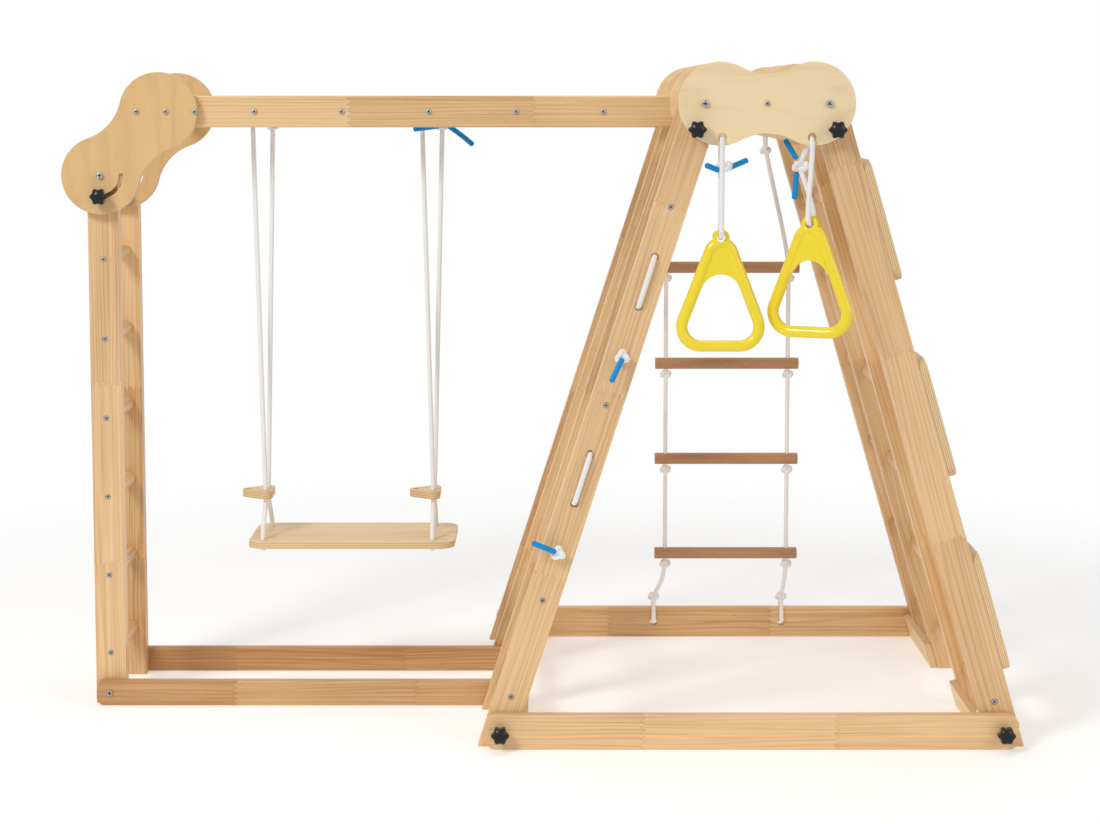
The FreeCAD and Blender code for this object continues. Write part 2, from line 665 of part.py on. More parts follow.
def grip_ring():
    """A rounded-triangle grip with its eye at the origin, in the plane of X and Z."""
    half = value("ring_half")
    drop = value("ring_drop")
    tube = value("ring_tube") / 2
    eye = value("ring_eye_r")
    corner = value("ring_corner")
    apex = Vec(0, 0, eye)
    points = [Vec(0, 0, -drop), Vec(half, 0, -drop), apex, Vec(-half, 0, -drop), Vec(0, 0, -drop)]
    wire = route_wire(points, [corner, eye, corner])
    section = Part.Wire([Part.makeCircle(tube, points[0], ALONG_X)])
    body = wire.makePipeShell([section], True, False)
    web = value("web_t")
    body = body.fuse(Part.makeCylinder(value("ring_lug_r"), web, Vec(0, -web / 2, -eye / 3), ALONG_Y))
    body = body.fuse(grip_web(half / (drop + eye), eye, tube, web))
    hole = Part.makeCylinder(value("rope_hole_d") / 2, 4 * web, Vec(0, -2 * web, -eye / 3), ALONG_Y)
    return body.cut(hole)


def rings():
    """Two grips, each on a loop of rope through a hole of the front hub plate."""
    y = value("-outer_face - running_gap - plate_t / 2") - value("running_gap")
    hole_z = value("pivot_z - rope_hole_drop")
    for name, sign, turn in (("left", -1, 0), ("right", 1, value("ring_right_turn"))):
        x = value("hub_x") + sign * value("rope_hole_x")
        eye_z = hole_z - value("ring_%s_drop" % name)
        ring = grip_ring()
        ring.rotate(Vec(), UP, -turn)
        ring.translate(Vec(x, y, eye_z))
        node("ring_" + name, solid("ring_%s_solid" % name, ring))
        front = value("-outer_face - running_gap - plate_t - rope_d / 2") - 2 * value("running_gap")
        back = value("-outer_face - running_gap + rope_d / 2") + 2 * value("running_gap")
        bend = (back - front) / 2 - value("running_gap")
        low = eye_z - value("ring_eye_r") / 3
        knot = Vec(x - value("ring_%s_aside" % name), back, hole_z - value("ring_knot_drop"))
        half = (back - front) / 2
        across = Vec(half * math.sin(math.radians(turn)), half * math.cos(math.radians(turn)), 0)
        foot = Vec(x, (front + back) / 2, low)
        rest_z = hole_z - value("rope_hole_d / 2 - rope_d / 2 - running_gap")
        points = [knot, Vec(x, back, rest_z), Vec(x, front, rest_z), foot - across, foot + across,
                  knot - Vec(0, 0, value("knot_r"))]
        tight = value("rope_d")
        ball = knot - Vec(0, 0, value("knot_r") / 2)
        node("ring_rope_" + name, rope("ring_rope_" + name, points, [tight, tight, bend, bend], [ball]))


ROPE_RUNGS = 4


def rope_ladder():
    """Four dowels on two ropes, tied through the rear hub plate and the rear floor rail."""
    y = value("outer_face + rope_rung_d / 2 + 3 * running_gap")
    hub = value("hub_x")
    half = value("rope_rung_long") / 2
    hole_x = half - value("rope_rung_inset")
    drops = [value("pivot_z - rope_rung_top - %d * rope_rung_pitch" % index) for index in range(ROPE_RUNGS)]
    rungs = []
    for z in drops:
        rung = Part.makeCylinder(value("rope_rung_d") / 2, 2 * half, Vec(hub - half, y, z), ALONG_X)
        for side in (-1, 1):
            rung = bore_z(rung, hub + side * hole_x, y, z - value("rope_rung_d / 2"),
                          value("rope_d + 2 * pin_clear"), value("rope_rung_d"))
        rungs.append(rung)
    node("rope_ladder_rungs", solid("rope_ladder_rung_group", Part.makeCompound(rungs)))
    plate_back = value("outer_face + running_gap + plate_t")
    gap = 2 * value("running_gap") + value("rope_d") / 2
    near = value("outer_face + running_gap") - gap
    far = plate_back + gap
    rail_far = value("outer_face + running_gap + base_t") + gap
    hole_z = value("pivot_z - rope_hole_drop")
    tie_z = value("base_tall / 2")
    bend = value("rope_d")
    knot_r = value("knot_r")
    for name, sign in (("left", -1), ("right", 1)):
        top_x = hub + sign * value("rope_hole_x")
        rung_x = hub + sign * hole_x
        tie_x = value("frame_x") + sign * value("tie_hole_x")
        top_knot = Vec(top_x, y, hole_z - 4 * knot_r)
        low_knot = Vec(tie_x, y, value("base_tall") + 2 * knot_r)
        clear = value("rope_rung_d")
        under = value("rope_rung_d / 2 + knot_r + knob_gap")
        rail_top = value("base_tall")
        loop_low = hole_z - 2 * knot_r
        points = [top_knot + Vec(0, -bend / 2, 0), Vec(top_x, near, loop_low), Vec(top_x, near, hole_z),
                  Vec(top_x, far, hole_z), Vec(top_x, far, loop_low), top_knot]
        points += [Vec(rung_x, y, drops[0] + clear), Vec(rung_x, y, drops[-1] - 2 * clear), low_knot]
        points += [Vec(tie_x, rail_far, rail_top), Vec(tie_x, rail_far, tie_z), Vec(tie_x, near, tie_z),
                   Vec(tie_x, near, rail_top), low_knot + Vec(0, -bend / 2, 0)]
        radii = 4 * [bend] + 4 * [value("rope_sweep")] + 4 * [bend]
        knots = [top_knot, low_knot] + [Vec(rung_x, y, z - under) for z in drops]
        node("rope_ladder_rope_" + name, rope("rope_ladder_rope_" + name, points, radii, knots))


def net_ropes():
    """Two ropes that zigzag across the left leg's front bay between its rungs."""
    gap = value("rope_d / 2") + value("running_gap")
    front = value("-outer_face") - gap
    back = value("-inner_face") + gap
    bend = value("rope_d")
    knot_out = value("knot_r")
    for name, levels in (("upper", NET_LEVELS[:3]), ("lower", NET_LEVELS[3:])):
        high, mid, low = [-value(net_drop(level)) for level in levels]
        points = [Vec(0, front - knot_out / 2, low), Vec(0, back, low), Vec(0, back, mid),
                  Vec(0, front, mid), Vec(0, front, high), Vec(0, back + knot_out / 2, high)]
        tube = rope("net_rope_" + name, points, 4 * [bend], [points[0], points[-1]])
        node("net_rope_" + name, on_leg(tube, "left"))


KNOB_LOBES = 6


def star_knob(stud_long):
    """A six-lobed knob on a collar and stud, its collar's seat at the origin, standing along -Y."""
    tall = value("knob_tall")
    collar = value("collar_tall")
    radius = value("knob_r")
    body = Part.makeCylinder(radius, tall, Vec(0, -collar - tall, 0), ALONG_Y)
    for index in range(KNOB_LOBES):
        angle = 2 * math.pi * index / KNOB_LOBES
        spot = Vec(radius * math.cos(angle), -collar - tall, radius * math.sin(angle))
        body = body.fuse(Part.makeCylinder(value("knob_lobe_r"), tall, spot, ALONG_Y))
    body = body.fuse(Part.makeCylinder(value("collar_r"), collar, Vec(0, -collar, 0), ALONG_Y))
    body = body.removeSplitter()
    return body.fuse(Part.makeCylinder(value("stud_d") / 2, stud_long, Vec(), ALONG_Y))


def knobs():
    """Lock knobs: four at the hub, four at the feet and two on the end ladder's hinge plates."""
    hub = value("outer_face + running_gap + plate_t + knob_gap")
    foot = value("outer_face + running_gap + base_t + knob_gap")
    spots = []
    for side in ("left", "right"):
        x, z = knob_spot(side)
        spots.append(("hub_" + side, value("hub_x") + x, value("pivot_z") + z, hub, value("plate_t")))
        spots.append(("foot_" + side, base_knob_x(side), value("base_knob_z"), foot, value("base_t")))
    for name, x, z, face, stud in spots:
        for end, away in (("front", -1), ("rear", 1)):
            knob = solid("knob_%s_%s_solid" % (name, end), star_knob(stud))
            about = FreeCAD.Rotation(UP, 180 if away > 0 else 0)
            knob.Placement = FreeCAD.Placement(Vec(x, away * face, z), about)
            node("knob_%s_%s" % (name, end), knob)
    for end, near in (("front", "-beam_face - plate_t - knob_gap"),
                      ("rear", "beam_inside / 2 - plate_t - knob_gap")):
        knob = solid("knob_ladder_%s_solid" % end, star_knob(value("plate_t + beam_t")))
        node("knob_ladder_" + end, place(knob, "ladder_x", near, "ladder_pivot_z - slot_r"))


for leg in LEGS:
    for rail in range(1, 5):
        leg_rail(leg, rail)
    leg_rungs(leg)
    foot_braces(leg)
hub_plates()
beam()
hinge_plates()
end_ladder()
base_rails()
ladder_base()
climbing_boards()
swing()
rings()
rope_ladder()
net_ropes()
knobs()
doc.recompute()

for obj in doc.Objects:
    if "Invalid" in obj.State or "Error" in obj.State:
        raise RuntimeError("%s did not build: %s" % (obj.Label, obj.State))
for name, obj in NODES.items():
    if obj.Shape.isNull() or not obj.Shape.isValid() or not obj.Shape.Solids:
        raise RuntimeError("%s has no sound solid" % name)

os.makedirs("parts", exist_ok=True)
for name, obj in NODES.items():
    obj.Shape.exportStep(os.path.join("parts", name + ".step"))
whole = Part.makeCompound([obj.Shape for obj in NODES.values()]).BoundBox
print("nodes %d, box X %.1f to %.1f, Y %.1f to %.1f, Z %.1f to %.1f" %
      (len(NODES), whole.XMin, whole.XMax, whole.YMin, whole.YMax, whole.ZMin, whole.ZMax))
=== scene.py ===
"""Indoor playset: looks, ropes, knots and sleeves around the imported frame. Metres, +Z up, floor at Z = 0."""
import math

import bpy
import numpy as np
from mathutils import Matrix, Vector


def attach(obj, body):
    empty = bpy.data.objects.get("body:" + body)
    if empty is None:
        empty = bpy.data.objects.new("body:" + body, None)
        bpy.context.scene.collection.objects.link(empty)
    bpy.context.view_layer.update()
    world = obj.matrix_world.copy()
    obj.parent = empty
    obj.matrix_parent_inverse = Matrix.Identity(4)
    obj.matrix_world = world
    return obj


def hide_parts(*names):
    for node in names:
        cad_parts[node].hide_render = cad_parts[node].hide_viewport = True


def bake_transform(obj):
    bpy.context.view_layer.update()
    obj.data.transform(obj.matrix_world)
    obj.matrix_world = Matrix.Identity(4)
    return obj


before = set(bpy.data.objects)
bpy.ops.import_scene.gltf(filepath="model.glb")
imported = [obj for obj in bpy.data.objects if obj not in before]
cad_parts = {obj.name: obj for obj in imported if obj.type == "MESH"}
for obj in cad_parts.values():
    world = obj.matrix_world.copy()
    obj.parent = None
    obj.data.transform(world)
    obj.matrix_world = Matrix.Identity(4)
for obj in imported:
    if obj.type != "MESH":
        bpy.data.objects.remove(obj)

bl_info = {
    "name": "Indoor Playset Looks",
    "version": (1, 0, 0),
    "blender": (4, 5, 0),
    "location": "View3D > Sidebar > Playset",
    "description": "Wood, ropes and stage for a folding indoor playset",
    "category": "Object",
}

# The hub, the floor frame and the lean of both legs
HUB_X = 0.40265
FRAME_X = 0.38565
PIVOT_Z = 1.128
PIVOT_HALF = 0.106
LEFT_SPREAD = 0.362
RIGHT_SPREAD = 0.328
LEFT_TILT = math.atan2(LEFT_SPREAD, PIVOT_Z)
RIGHT_TILT = math.atan2(RIGHT_SPREAD, PIVOT_Z)
RUNG_FIRST = 0.186
RUNG_PITCH = 0.181

# The rope holes of the hub plates, and where a rope runs at an outer plate's middle, inside and outside
ROPE_HOLE_X = 0.077
ROPE_HOLE_Z = 1.071
PLATE_MID = 0.410
PLATE_INSIDE = 0.3945
PLATE_OUTSIDE = 0.4255

# The swing's two bars, the knots beside them, and the heights between which the swing's ropes bend
BAR_ONE = -0.51245
BAR_THREE = -0.19145
BAR_BESIDE = 0.020
BAR_KNOT_Z = 1.084
SWING_BEND = (1.100, 1.030)

# The grips: how low their ropes hang, the right one's turn, the loop's reach in an eye, and the knots
GRIP_LOW_LEFT = 0.89833
GRIP_LOW_RIGHT = 0.92233
GRIP_TURN_RIGHT = math.radians(24)
GRIP_EYE_REACH = 0.0155
GRIP_KNOT_Z = 1.0205
LEFT_KNOT_ASIDE = 0.005
RIGHT_ASIDE = 0.017

# The rope ladder: its plane, its rungs, and the loops that tie it to the rear floor rail
LADDER_Y = 0.415
LADDER_RUNG_X = 0.128
LADDER_RUNG_Z = 0.783
LADDER_RUNGS = 4
LADDER_PITCH = 0.202
LADDER_KNOT_DROP = 0.023
LADDER_KNOT_Z = 1.027
TIE_X = 0.135
TIE_KNOT_Z = 0.084
LADDER_TIES = (FRAME_X - TIE_X, FRAME_X + TIE_X)
LADDER_BEND = (0.160, 0.072)

# The net: where its ropes start and end, and how many rung pitches down each one's highest crossing is
NET_FRONT = -0.411
NET_BACK = -0.126
NET_FIRSTS = (0.5, 2.5)


# Colours and sizes that a user may change
class PlaysetLooks(bpy.types.PropertyGroup):
    """Colours and surface sizes of the playset."""

    pine_light: bpy.props.FloatVectorProperty(
        name="Pine light", description="Early wood of the rails",
        subtype="COLOR", min=0, max=1, default=(0.87, 0.59, 0.305))
    pine_dark: bpy.props.FloatVectorProperty(
        name="Pine dark", description="Late wood of the rails",
        subtype="COLOR", min=0, max=1, default=(0.47, 0.225, 0.075))
    ply_light: bpy.props.FloatVectorProperty(
        name="Ply light", description="Face veneer of the plates",
        subtype="COLOR", min=0, max=1, default=(0.97, 0.765, 0.46))
    ply_gold: bpy.props.FloatVectorProperty(
        name="Ply gold", description="Warmer face veneer of the hinge plates",
        subtype="COLOR", min=0, max=1, default=(0.80, 0.53, 0.24))
    ply_dark: bpy.props.FloatVectorProperty(
        name="Ply dark", description="Cross plies at the plates' edges",
        subtype="COLOR", min=0, max=1, default=(0.50, 0.28, 0.115))
    beech: bpy.props.FloatVectorProperty(
        name="Beech", description="Rungs of the rope ladder",
        subtype="COLOR", min=0, max=1, default=(0.52, 0.27, 0.13))
    rope: bpy.props.FloatVectorProperty(
        name="Rope", description="White braided rope",
        subtype="COLOR", min=0, max=1, default=(0.93, 0.93, 0.92))
    sleeve: bpy.props.FloatVectorProperty(
        name="Sleeve", description="Sleeves on the rope ends",
        subtype="COLOR", min=0, max=1, default=(0.002, 0.30, 0.715))
    ring: bpy.props.FloatVectorProperty(
        name="Ring", description="Plastic of the grips",
        subtype="COLOR", min=0, max=1, default=(1.0, 0.775, 0.0))
    knob: bpy.props.FloatVectorProperty(
        name="Knob", description="Plastic of the knobs",
        subtype="COLOR", min=0, max=1, default=(0.006, 0.006, 0.008))
    steel: bpy.props.FloatVectorProperty(
        name="Steel", description="Zinc-plated screws and bolts",
        subtype="COLOR", min=0, max=1, default=(0.42, 0.44, 0.47))
    edge_round: bpy.props.FloatProperty(
        name="Edge rounding", description="Radius of the eased edges of the timber",
        unit="LENGTH", min=0.0005, max=0.006, default=0.0028)
    knob_dome: bpy.props.FloatProperty(
        name="Knob dome", description="How far a knob's face falls from its middle to its lobes",
        unit="LENGTH", min=0.0, max=0.010, default=0.0078)
    head_dome: bpy.props.FloatProperty(
        name="Screw dome", description="Height of a screw head's domed face",
        unit="LENGTH", min=0.0002, max=0.002, default=0.0008)
    stave: bpy.props.FloatProperty(
        name="Stave length", description="Length of one finger-jointed stave",
        unit="LENGTH", min=0.1, max=1.0, default=0.34)


class PlaysetRopes(bpy.types.PropertyGroup):
    """Sizes of the ropes, knots and sleeves."""

    diameter: bpy.props.FloatProperty(
        name="Rope diameter", description="Diameter of every rope",
        unit="LENGTH", min=0.004, max=0.012, default=0.009)
    step: bpy.props.FloatProperty(
        name="Braid step", description="Distance between rings of the rope's mesh",
        unit="LENGTH", min=0.001, max=0.01, default=0.0018)
    lay: bpy.props.FloatProperty(
        name="Braid lay", description="Length of one turn of a braid strand",
        unit="LENGTH", min=0.005, max=0.1, default=0.034)
    strands: bpy.props.IntProperty(
        name="Braid strands", description="Strands in each direction round the rope",
        min=2, max=12, default=6)
    knot_size: bpy.props.FloatProperty(
        name="Knot size", description="Distance across a knot",
        unit="LENGTH", min=0.01, max=0.05, default=0.026)
    sleeve_diameter: bpy.props.FloatProperty(
        name="Sleeve diameter", description="Diameter of a rope-end sleeve",
        unit="LENGTH", min=0.006, max=0.015, default=0.0098)


class PlaysetStage(bpy.types.PropertyGroup):
    """Camera, light and floor."""

    camera_x: bpy.props.FloatProperty(
        name="Camera X", description="Sideways place of the camera",
        unit="LENGTH", default=0.03165)
    camera_back: bpy.props.FloatProperty(
        name="Camera distance", description="How far the camera stands in front of the set's middle",
        unit="LENGTH", min=1.0, max=20.0, default=4.25)
    camera_high: bpy.props.FloatProperty(
        name="Camera height", description="Height of the lens over the floor",
        unit="LENGTH", min=0.1, max=5.0, default=1.147)
    lens: bpy.props.FloatProperty(
        name="Lens", description="Focal length in millimetres",
        min=20, max=200, default=73.2)
    pitch: bpy.props.FloatProperty(
        name="Pitch", description="How far the camera looks down",
        subtype="ANGLE", default=math.radians(5.35))
    shift: bpy.props.FloatProperty(
        name="Shift", description="Vertical shift of the lens",
        min=-0.2, max=0.2, default=-0.1)
    key: bpy.props.FloatProperty(
        name="Key light", description="Power of the large light in watts",
        min=0, max=500, default=94)
    fill: bpy.props.FloatProperty(
        name="Fill light", description="Power of the smaller light in watts",
        min=0, max=500, default=24)
    floor: bpy.props.FloatProperty(
        name="Floor half width", description="Where the pale floor has faded out",
        unit="LENGTH", min=1, max=20, default=2.6)
    ambient: bpy.props.FloatProperty(
        name="Ambient", description="Strength of the white surround on the object",
        min=0, max=2, default=0.44)


def plug(tree, port, item):
    """Give a socket a shader value, a colour or a number."""
    if isinstance(item, Sock):
        tree.links.new(item.socket, port)
    else:
        port.default_value = (*item, 1.0) if isinstance(item, tuple) else item


def math_node(operation):
    """A method that makes a math node of a shader value and the values given with it."""
    def make(self, *others):
        made = self.tree.nodes.new("ShaderNodeMath")
        made.operation = operation
        for port, item in zip(made.inputs, (self, *others)):
            plug(self.tree, port, item)
        return Sock(self.tree, made.outputs[0])
    return make


class Sock:
    """A shader value: sums, products and functions of it make the nodes."""

    __add__ = math_node("ADD")
    __sub__ = math_node("SUBTRACT")
    __mul__ = math_node("MULTIPLY")
    __truediv__ = math_node("DIVIDE")
    __pow__ = math_node("POWER")
    sin = math_node("SINE")
    floor = math_node("FLOOR")
    fract = math_node("FRACT")
    size = math_node("ABSOLUTE")
    above = math_node("GREATER_THAN")
    at_most = math_node("MINIMUM")
    at_least = math_node("MAXIMUM")

    def __init__(self, tree, socket):
        self.tree = tree
        self.socket = socket

    def __rsub__(self, other):
        return (self * -1.0) + other

    def clamp(self):
        return self.at_most(1.0).at_least(0.0)

    def smooth(self, low, high):
        """Rises from 0 to 1 between two values."""
        made = self.tree.nodes.new("ShaderNodeMapRange")
        made.interpolation_type = "SMOOTHSTEP"
        for name, item in (("Value", self), ("From Min", low), ("From Max", high)):
            plug(self.tree, made.inputs[name], item)
        return Sock(self.tree, made.outputs[0])

    def mix(self, first, second):
        """A colour between two, the first where this value is 0."""
        made = self.tree.nodes.new("ShaderNodeMix")
        made.data_type = "RGBA"
        plug(self.tree, made.inputs["Factor"], self)
        for name, item in (("A", first), ("B", second)):
            port = [s for s in made.inputs if s.name == name and s.type == "RGBA"][0]
            plug(self.tree, port, item)
        return Sock(self.tree, [s for s in made.outputs if s.type == "RGBA"][0])


class Paint:
    """A material being made, with its place on the object as three values."""

    def __init__(self, name):
        self.material = bpy.data.materials.new(name)
        self.material.use_nodes = True
        self.tree = self.material.node_tree
        self.shader = next(n for n in self.tree.nodes if n.type == "BSDF_PRINCIPLED")
        self.coords = self.tree.nodes.new("ShaderNodeTexCoord")

    def _split(self, socket):
        parts = self.tree.nodes.new("ShaderNodeSeparateXYZ")
        self.tree.links.new(socket, parts.inputs[0])
        return [Sock(self.tree, out) for out in parts.outputs]

    def place(self):
        return self._split(self.coords.outputs["Object"])

    def facing(self):
        return self._split(self.coords.outputs["Normal"])

    def attribute(self, name):
        made = self.tree.nodes.new("ShaderNodeAttribute")
        made.attribute_name = name
        return Sock(self.tree, made.outputs["Fac"])

    def noise(self, x, y, z, scale=1.0, detail=3.0, rough=0.5):
        """Smooth noise of three values."""
        joined = self.tree.nodes.new("ShaderNodeCombineXYZ")
        for port, item in zip(joined.inputs, (x, y, z)):
            plug(self.tree, port, item)
        made = self.tree.nodes.new("ShaderNodeTexNoise")
        self.tree.links.new(joined.outputs[0], made.inputs["Vector"])
        for name, item in (("Scale", scale), ("Detail", detail), ("Roughness", rough)):
            plug(self.tree, made.inputs[name], item)
        return Sock(self.tree, made.outputs[0])

    def speckle(self, scale):
        """Fine noise of the same size every way."""
        return self.noise(*[part * scale for part in self.place()], 1.0, 2.0)

    def random(self, number):
        """One random value for each whole number."""
        made = self.tree.nodes.new("ShaderNodeTexWhiteNoise")
        made.noise_dimensions = "1D"
        plug(self.tree, made.inputs["W"], number)
        return Sock(self.tree, made.outputs["Value"])

    def set(self, name, item):
        """Give one of the shader's own sockets its value."""
        plug(self.tree, self.shader.inputs[name], item)

    def bump(self, height, strength, distance):
        made = self.tree.nodes.new("ShaderNodeBump")
        for name, item in (("Strength", strength), ("Distance", distance), ("Height", height)):
            plug(self.tree, made.inputs[name], item)
        self.tree.links.new(made.outputs[0], self.shader.inputs["Normal"])


def dot(values, axis):
    """The share of three values along an axis."""
    total = values[0] * axis[0]
    for item, share in zip(values[1:], axis[1:]):
        total = total + item * share
    return total


def darkened(colour, share):
    """A share of a colour."""
    return tuple(share * part for part in colour)


def side_axes(along):
    """Two axes square to a direction and to each other."""
    first = np.cross(along, (0.0, 1.0, 0.0)) if abs(along[1]) < 0.9 else np.array((1.0, 0.0, 0.0))
    first = first / np.linalg.norm(first)
    return first, np.cross(along, first)


# Finger joints between staves: the fingers' pitch and depth, and where the seam's line starts and is full
FINGER_PITCH = 0.011
FINGER_DEEP = 0.010
SEAM_START = 0.4962
SEAM_FULL = 0.4985

# How far the grain and the tone move on from one piece to the next
GRAIN_SHIFT = 0.377
TONE_SHIFT = 13.7
PLY_SHIFT = 0.37


def pine(name, along, seed, looks, staves, tone_and_painted_shade):
    """Lacquered pine: stretched growth rings along the piece, fine fibres, staves of differing tone, and a
    darkening given for each piece that is in part its own tone and in part painted shade.
    """
    paint = Paint(name)
    spot = paint.place()
    side, other = side_axes(np.array(along, float))
    length = dot(spot, along) + seed * GRAIN_SHIFT
    across = dot(spot, side)
    depth = dot(spot, other)
    if staves:
        finger = ((depth + across) / FINGER_PITCH).fract() * 2.0 - 1.0
        joint = length + finger.size() * FINGER_DEEP
        stave = (joint / looks.stave).floor()
        tone = paint.random(stave + seed * TONE_SHIFT)
        seam = ((joint / looks.stave).fract() - 0.5).size().smooth(SEAM_START, SEAM_FULL)
    else:
        tone = paint.random(length * 0.0 + seed * TONE_SHIFT)
        seam = tone * 0.0
    drift = paint.noise(length * 1.1 + tone * 9.0, across * 16.0 + tone * 3.0, depth * 16.0, 1.0, 2.0)
    rings = ((across * 1.0 + depth * 0.45) * 760.0 + drift * 58.0 + tone * 50.0).sin() * 0.5 + 0.5
    lines = paint.noise(length * 1.6 + tone * 5.0, across * 190.0, depth * 190.0, 1.0, 4.0, 0.62)
    fibre = paint.noise(length * 11.0, across * 620.0, depth * 620.0, 1.0, 3.0, 0.6)
    patch = paint.noise(length * 3.0 + seed, across * 12.0, depth * 12.0, 1.0, 2.0)
    pores = paint.noise(length * 34.0 + seed, across * 520.0, depth * 520.0, 1.0, 1.0).smooth(0.68, 0.80)
    grain = (rings ** 2.6) * patch * 0.46 + (lines - 0.5) * 0.95 + (fibre - 0.5) * 0.45 + pores * 0.22
    # The piece's given darkening, in part painted shade, is added to the grain's shade here
    shade = (grain + (patch - 0.5) * 0.45 + (tone - 0.5) * 0.38 + seam * 0.25 + tone_and_painted_shade).clamp()
    paint.set("Base Color", shade.mix(tuple(looks.pine_light), tuple(looks.pine_dark)))
    paint.set("Roughness", (fibre * 0.16 + 0.36).clamp())
    paint.set("Coat Weight", 0.12)
    paint.bump(lines * 0.6 + fibre, 0.10, 0.0006)
    return paint.material


def ply(name, across, along, seed, layers, thick, tone_and_painted_shade, gold, looks):
    """Birch plywood: quiet flame grain on the faces and thin dark cross plies on the edges. The faces'
    darkening given for each piece is in part its own tone and in part painted light and shade.
    """
    light = tuple(pale + gold * (warm - pale) for pale, warm in zip(looks.ply_light, looks.ply_gold))
    paint = Paint(name)
    spot = paint.place()
    flat = dot(paint.facing(), across).size().smooth(0.55, 0.8)
    edge = 1.0 - flat
    deep = dot(spot, across)
    length = dot(spot, along)
    width = dot(spot, tuple(np.cross(across, along)))
    stripe = (deep * (layers / (2.0 * thick)) + seed).fract().above(0.5)
    drift = paint.noise(length * 3.0 + seed, width * 9.0, deep * 9.0, 1.0, 3.0)
    flame = ((width * 150.0 + drift * 26.0).sin() * 0.5 + 0.5) ** 3.0
    fibre = paint.noise(length * 14.0, width * 380.0, deep * 380.0, 1.0, 3.0, 0.6)
    # The piece's given darkening is added to the face's shade here: in part painted light and shade
    face = (flame * 0.14 + (fibre - 0.5) * 0.35 + (drift - 0.5) * 0.45 + tone_and_painted_shade).clamp()
    layer = (stripe * 0.55 + fibre * 0.24).clamp()
    shade = (face * flat + layer * edge).clamp()
    paint.set("Base Color", shade.mix(light, tuple(looks.ply_dark)))
    paint.set("Roughness", (fibre * 0.16 + 0.40).clamp())
    paint.bump(fibre + flame * 0.3, 0.08, 0.0005)
    return paint.material


def turned_wood(name, colour, seed):
    """Plain hardwood dowel along X with short dark flecks."""
    paint = Paint(name)
    spot = paint.place()
    speck = paint.noise(spot[0] * 60.0 + seed, spot[1] * 700.0, spot[2] * 700.0, 1.0, 2.0)
    fleck = speck.smooth(0.52, 0.74)
    drift = paint.noise(spot[0] * 5.0, spot[1] * 90.0, spot[2] * 90.0, 1.0, 2.0)
    shade = (fleck * 0.35 + (drift - 0.5) * 0.9 + 0.12).clamp()
    paint.set("Base Color", shade.mix(tuple(colour), darkened(colour, 0.55)))
    paint.set("Roughness", (drift * 0.2 + 0.38).clamp())
    return paint.material


def rope_paint(name, colour):
    """Braided white rope with painted shade in the grooves between its strands, and a faint painted glow that
    lifts its white.
    """
    paint = Paint(name)
    groove = paint.attribute("groove")
    fuzz = paint.speckle(900.0)
    # painted shade: the colour is darker where the groove attribute marks the hollows between strands
    paint.set("Base Color", (groove * 0.7 + fuzz * 0.08).clamp().mix(tuple(colour), darkened(colour, 0.66)))
    paint.set("Roughness", (fuzz * 0.2 + 0.72).clamp())
    # painted light: a faint glow in the rope's own colour lifts it where it lies in shade
    paint.set("Emission Color", tuple(colour))
    paint.set("Emission Strength", 0.07)
    paint.bump(fuzz, 0.15, 0.0004)
    return paint.material


def plain_paint(name, colour, rough, metallic=0.0, grain=300.0, coat=0.0, shine=0.5):
    """One colour with a fine-grained roughness."""
    paint = Paint(name)
    fleck = paint.speckle(grain)
    paint.set("Base Color", (fleck * 0.25).clamp().mix(tuple(colour), darkened(colour, 0.8)))
    paint.set("Roughness", (fleck * 0.14 + rough).clamp())
    paint.set("Metallic", metallic)
    paint.set("Coat Weight", coat)
    paint.set("Specular IOR Level", shine)
    paint.bump(fleck, 0.03, 0.0003)
    return paint.material


def floor_paint(name, reach):
    """A pale floor that takes shadows near the object and fades out with its distance from the middle."""
    paint = Paint(name)
    spot = paint.place()
    away = (spot[0] * spot[0] + spot[1] * spot[1]) ** 0.5
    paint.set("Base Color", (0.94, 0.94, 0.94))
    paint.set("Roughness", 0.8)
    paint.set("Emission Color", (1.0, 1.0, 1.0))
    paint.set("Emission Strength", 0.26)
    paint.set("Alpha", 1.0 - away.smooth(0.45 * reach, 0.95 * reach))
    return paint.material


LEFT_ALONG = (math.sin(LEFT_TILT), 0.0, math.cos(LEFT_TILT))
RIGHT_ALONG = (-math.sin(RIGHT_TILT), 0.0, math.cos(RIGHT_TILT))
LEFT_ACROSS = (math.cos(LEFT_TILT), 0.0, -math.sin(LEFT_TILT))
RIGHT_ACROSS = (math.cos(RIGHT_TILT), 0.0, math.sin(RIGHT_TILT))
X_AXIS = (1.0, 0.0, 0.0)
Y_AXIS = (0.0, 1.0, 0.0)
Z_AXIS = (0.0, 0.0, 1.0)

# CAD nodes of solid timber: the grain's direction, if the piece is made of staves, and how much darker it is,
# in part its own tone and in part painted shade that grows for the rails further back, the rear rails, the
# rungs and the low rails
PINE_NODES = {
    **{"left_rail_%d" % n: (LEFT_ALONG, True, 0.10 + 0.04 * n) for n in range(1, 5)},
    **{"right_rail_%d" % n: (RIGHT_ALONG, True, 0.10 + 0.04 * n) for n in range(1, 5)},
    "beam_rail_front": (X_AXIS, True, 0.08), "beam_rail_rear": (X_AXIS, True, 0.16),
    "ladder_upright_front": (Z_AXIS, True, 0.24), "ladder_upright_rear": (Z_AXIS, True, 0.30),
    "base_rail_front": (X_AXIS, True, 0.04), "base_rail_rear": (X_AXIS, True, 0.32),
    "low_rail_front": (X_AXIS, True, 0.80), "low_rail_rear": (X_AXIS, True, 0.74),
    "left_rungs": (Y_AXIS, False, 0.26), "right_rungs": (Y_AXIS, False, 0.26),
    "hub_crossbars": (Y_AXIS, False, 0.14), "beam_bars": (Y_AXIS, False, 0.14),
    "ladder_steps": (Y_AXIS, False, 0.26),
}
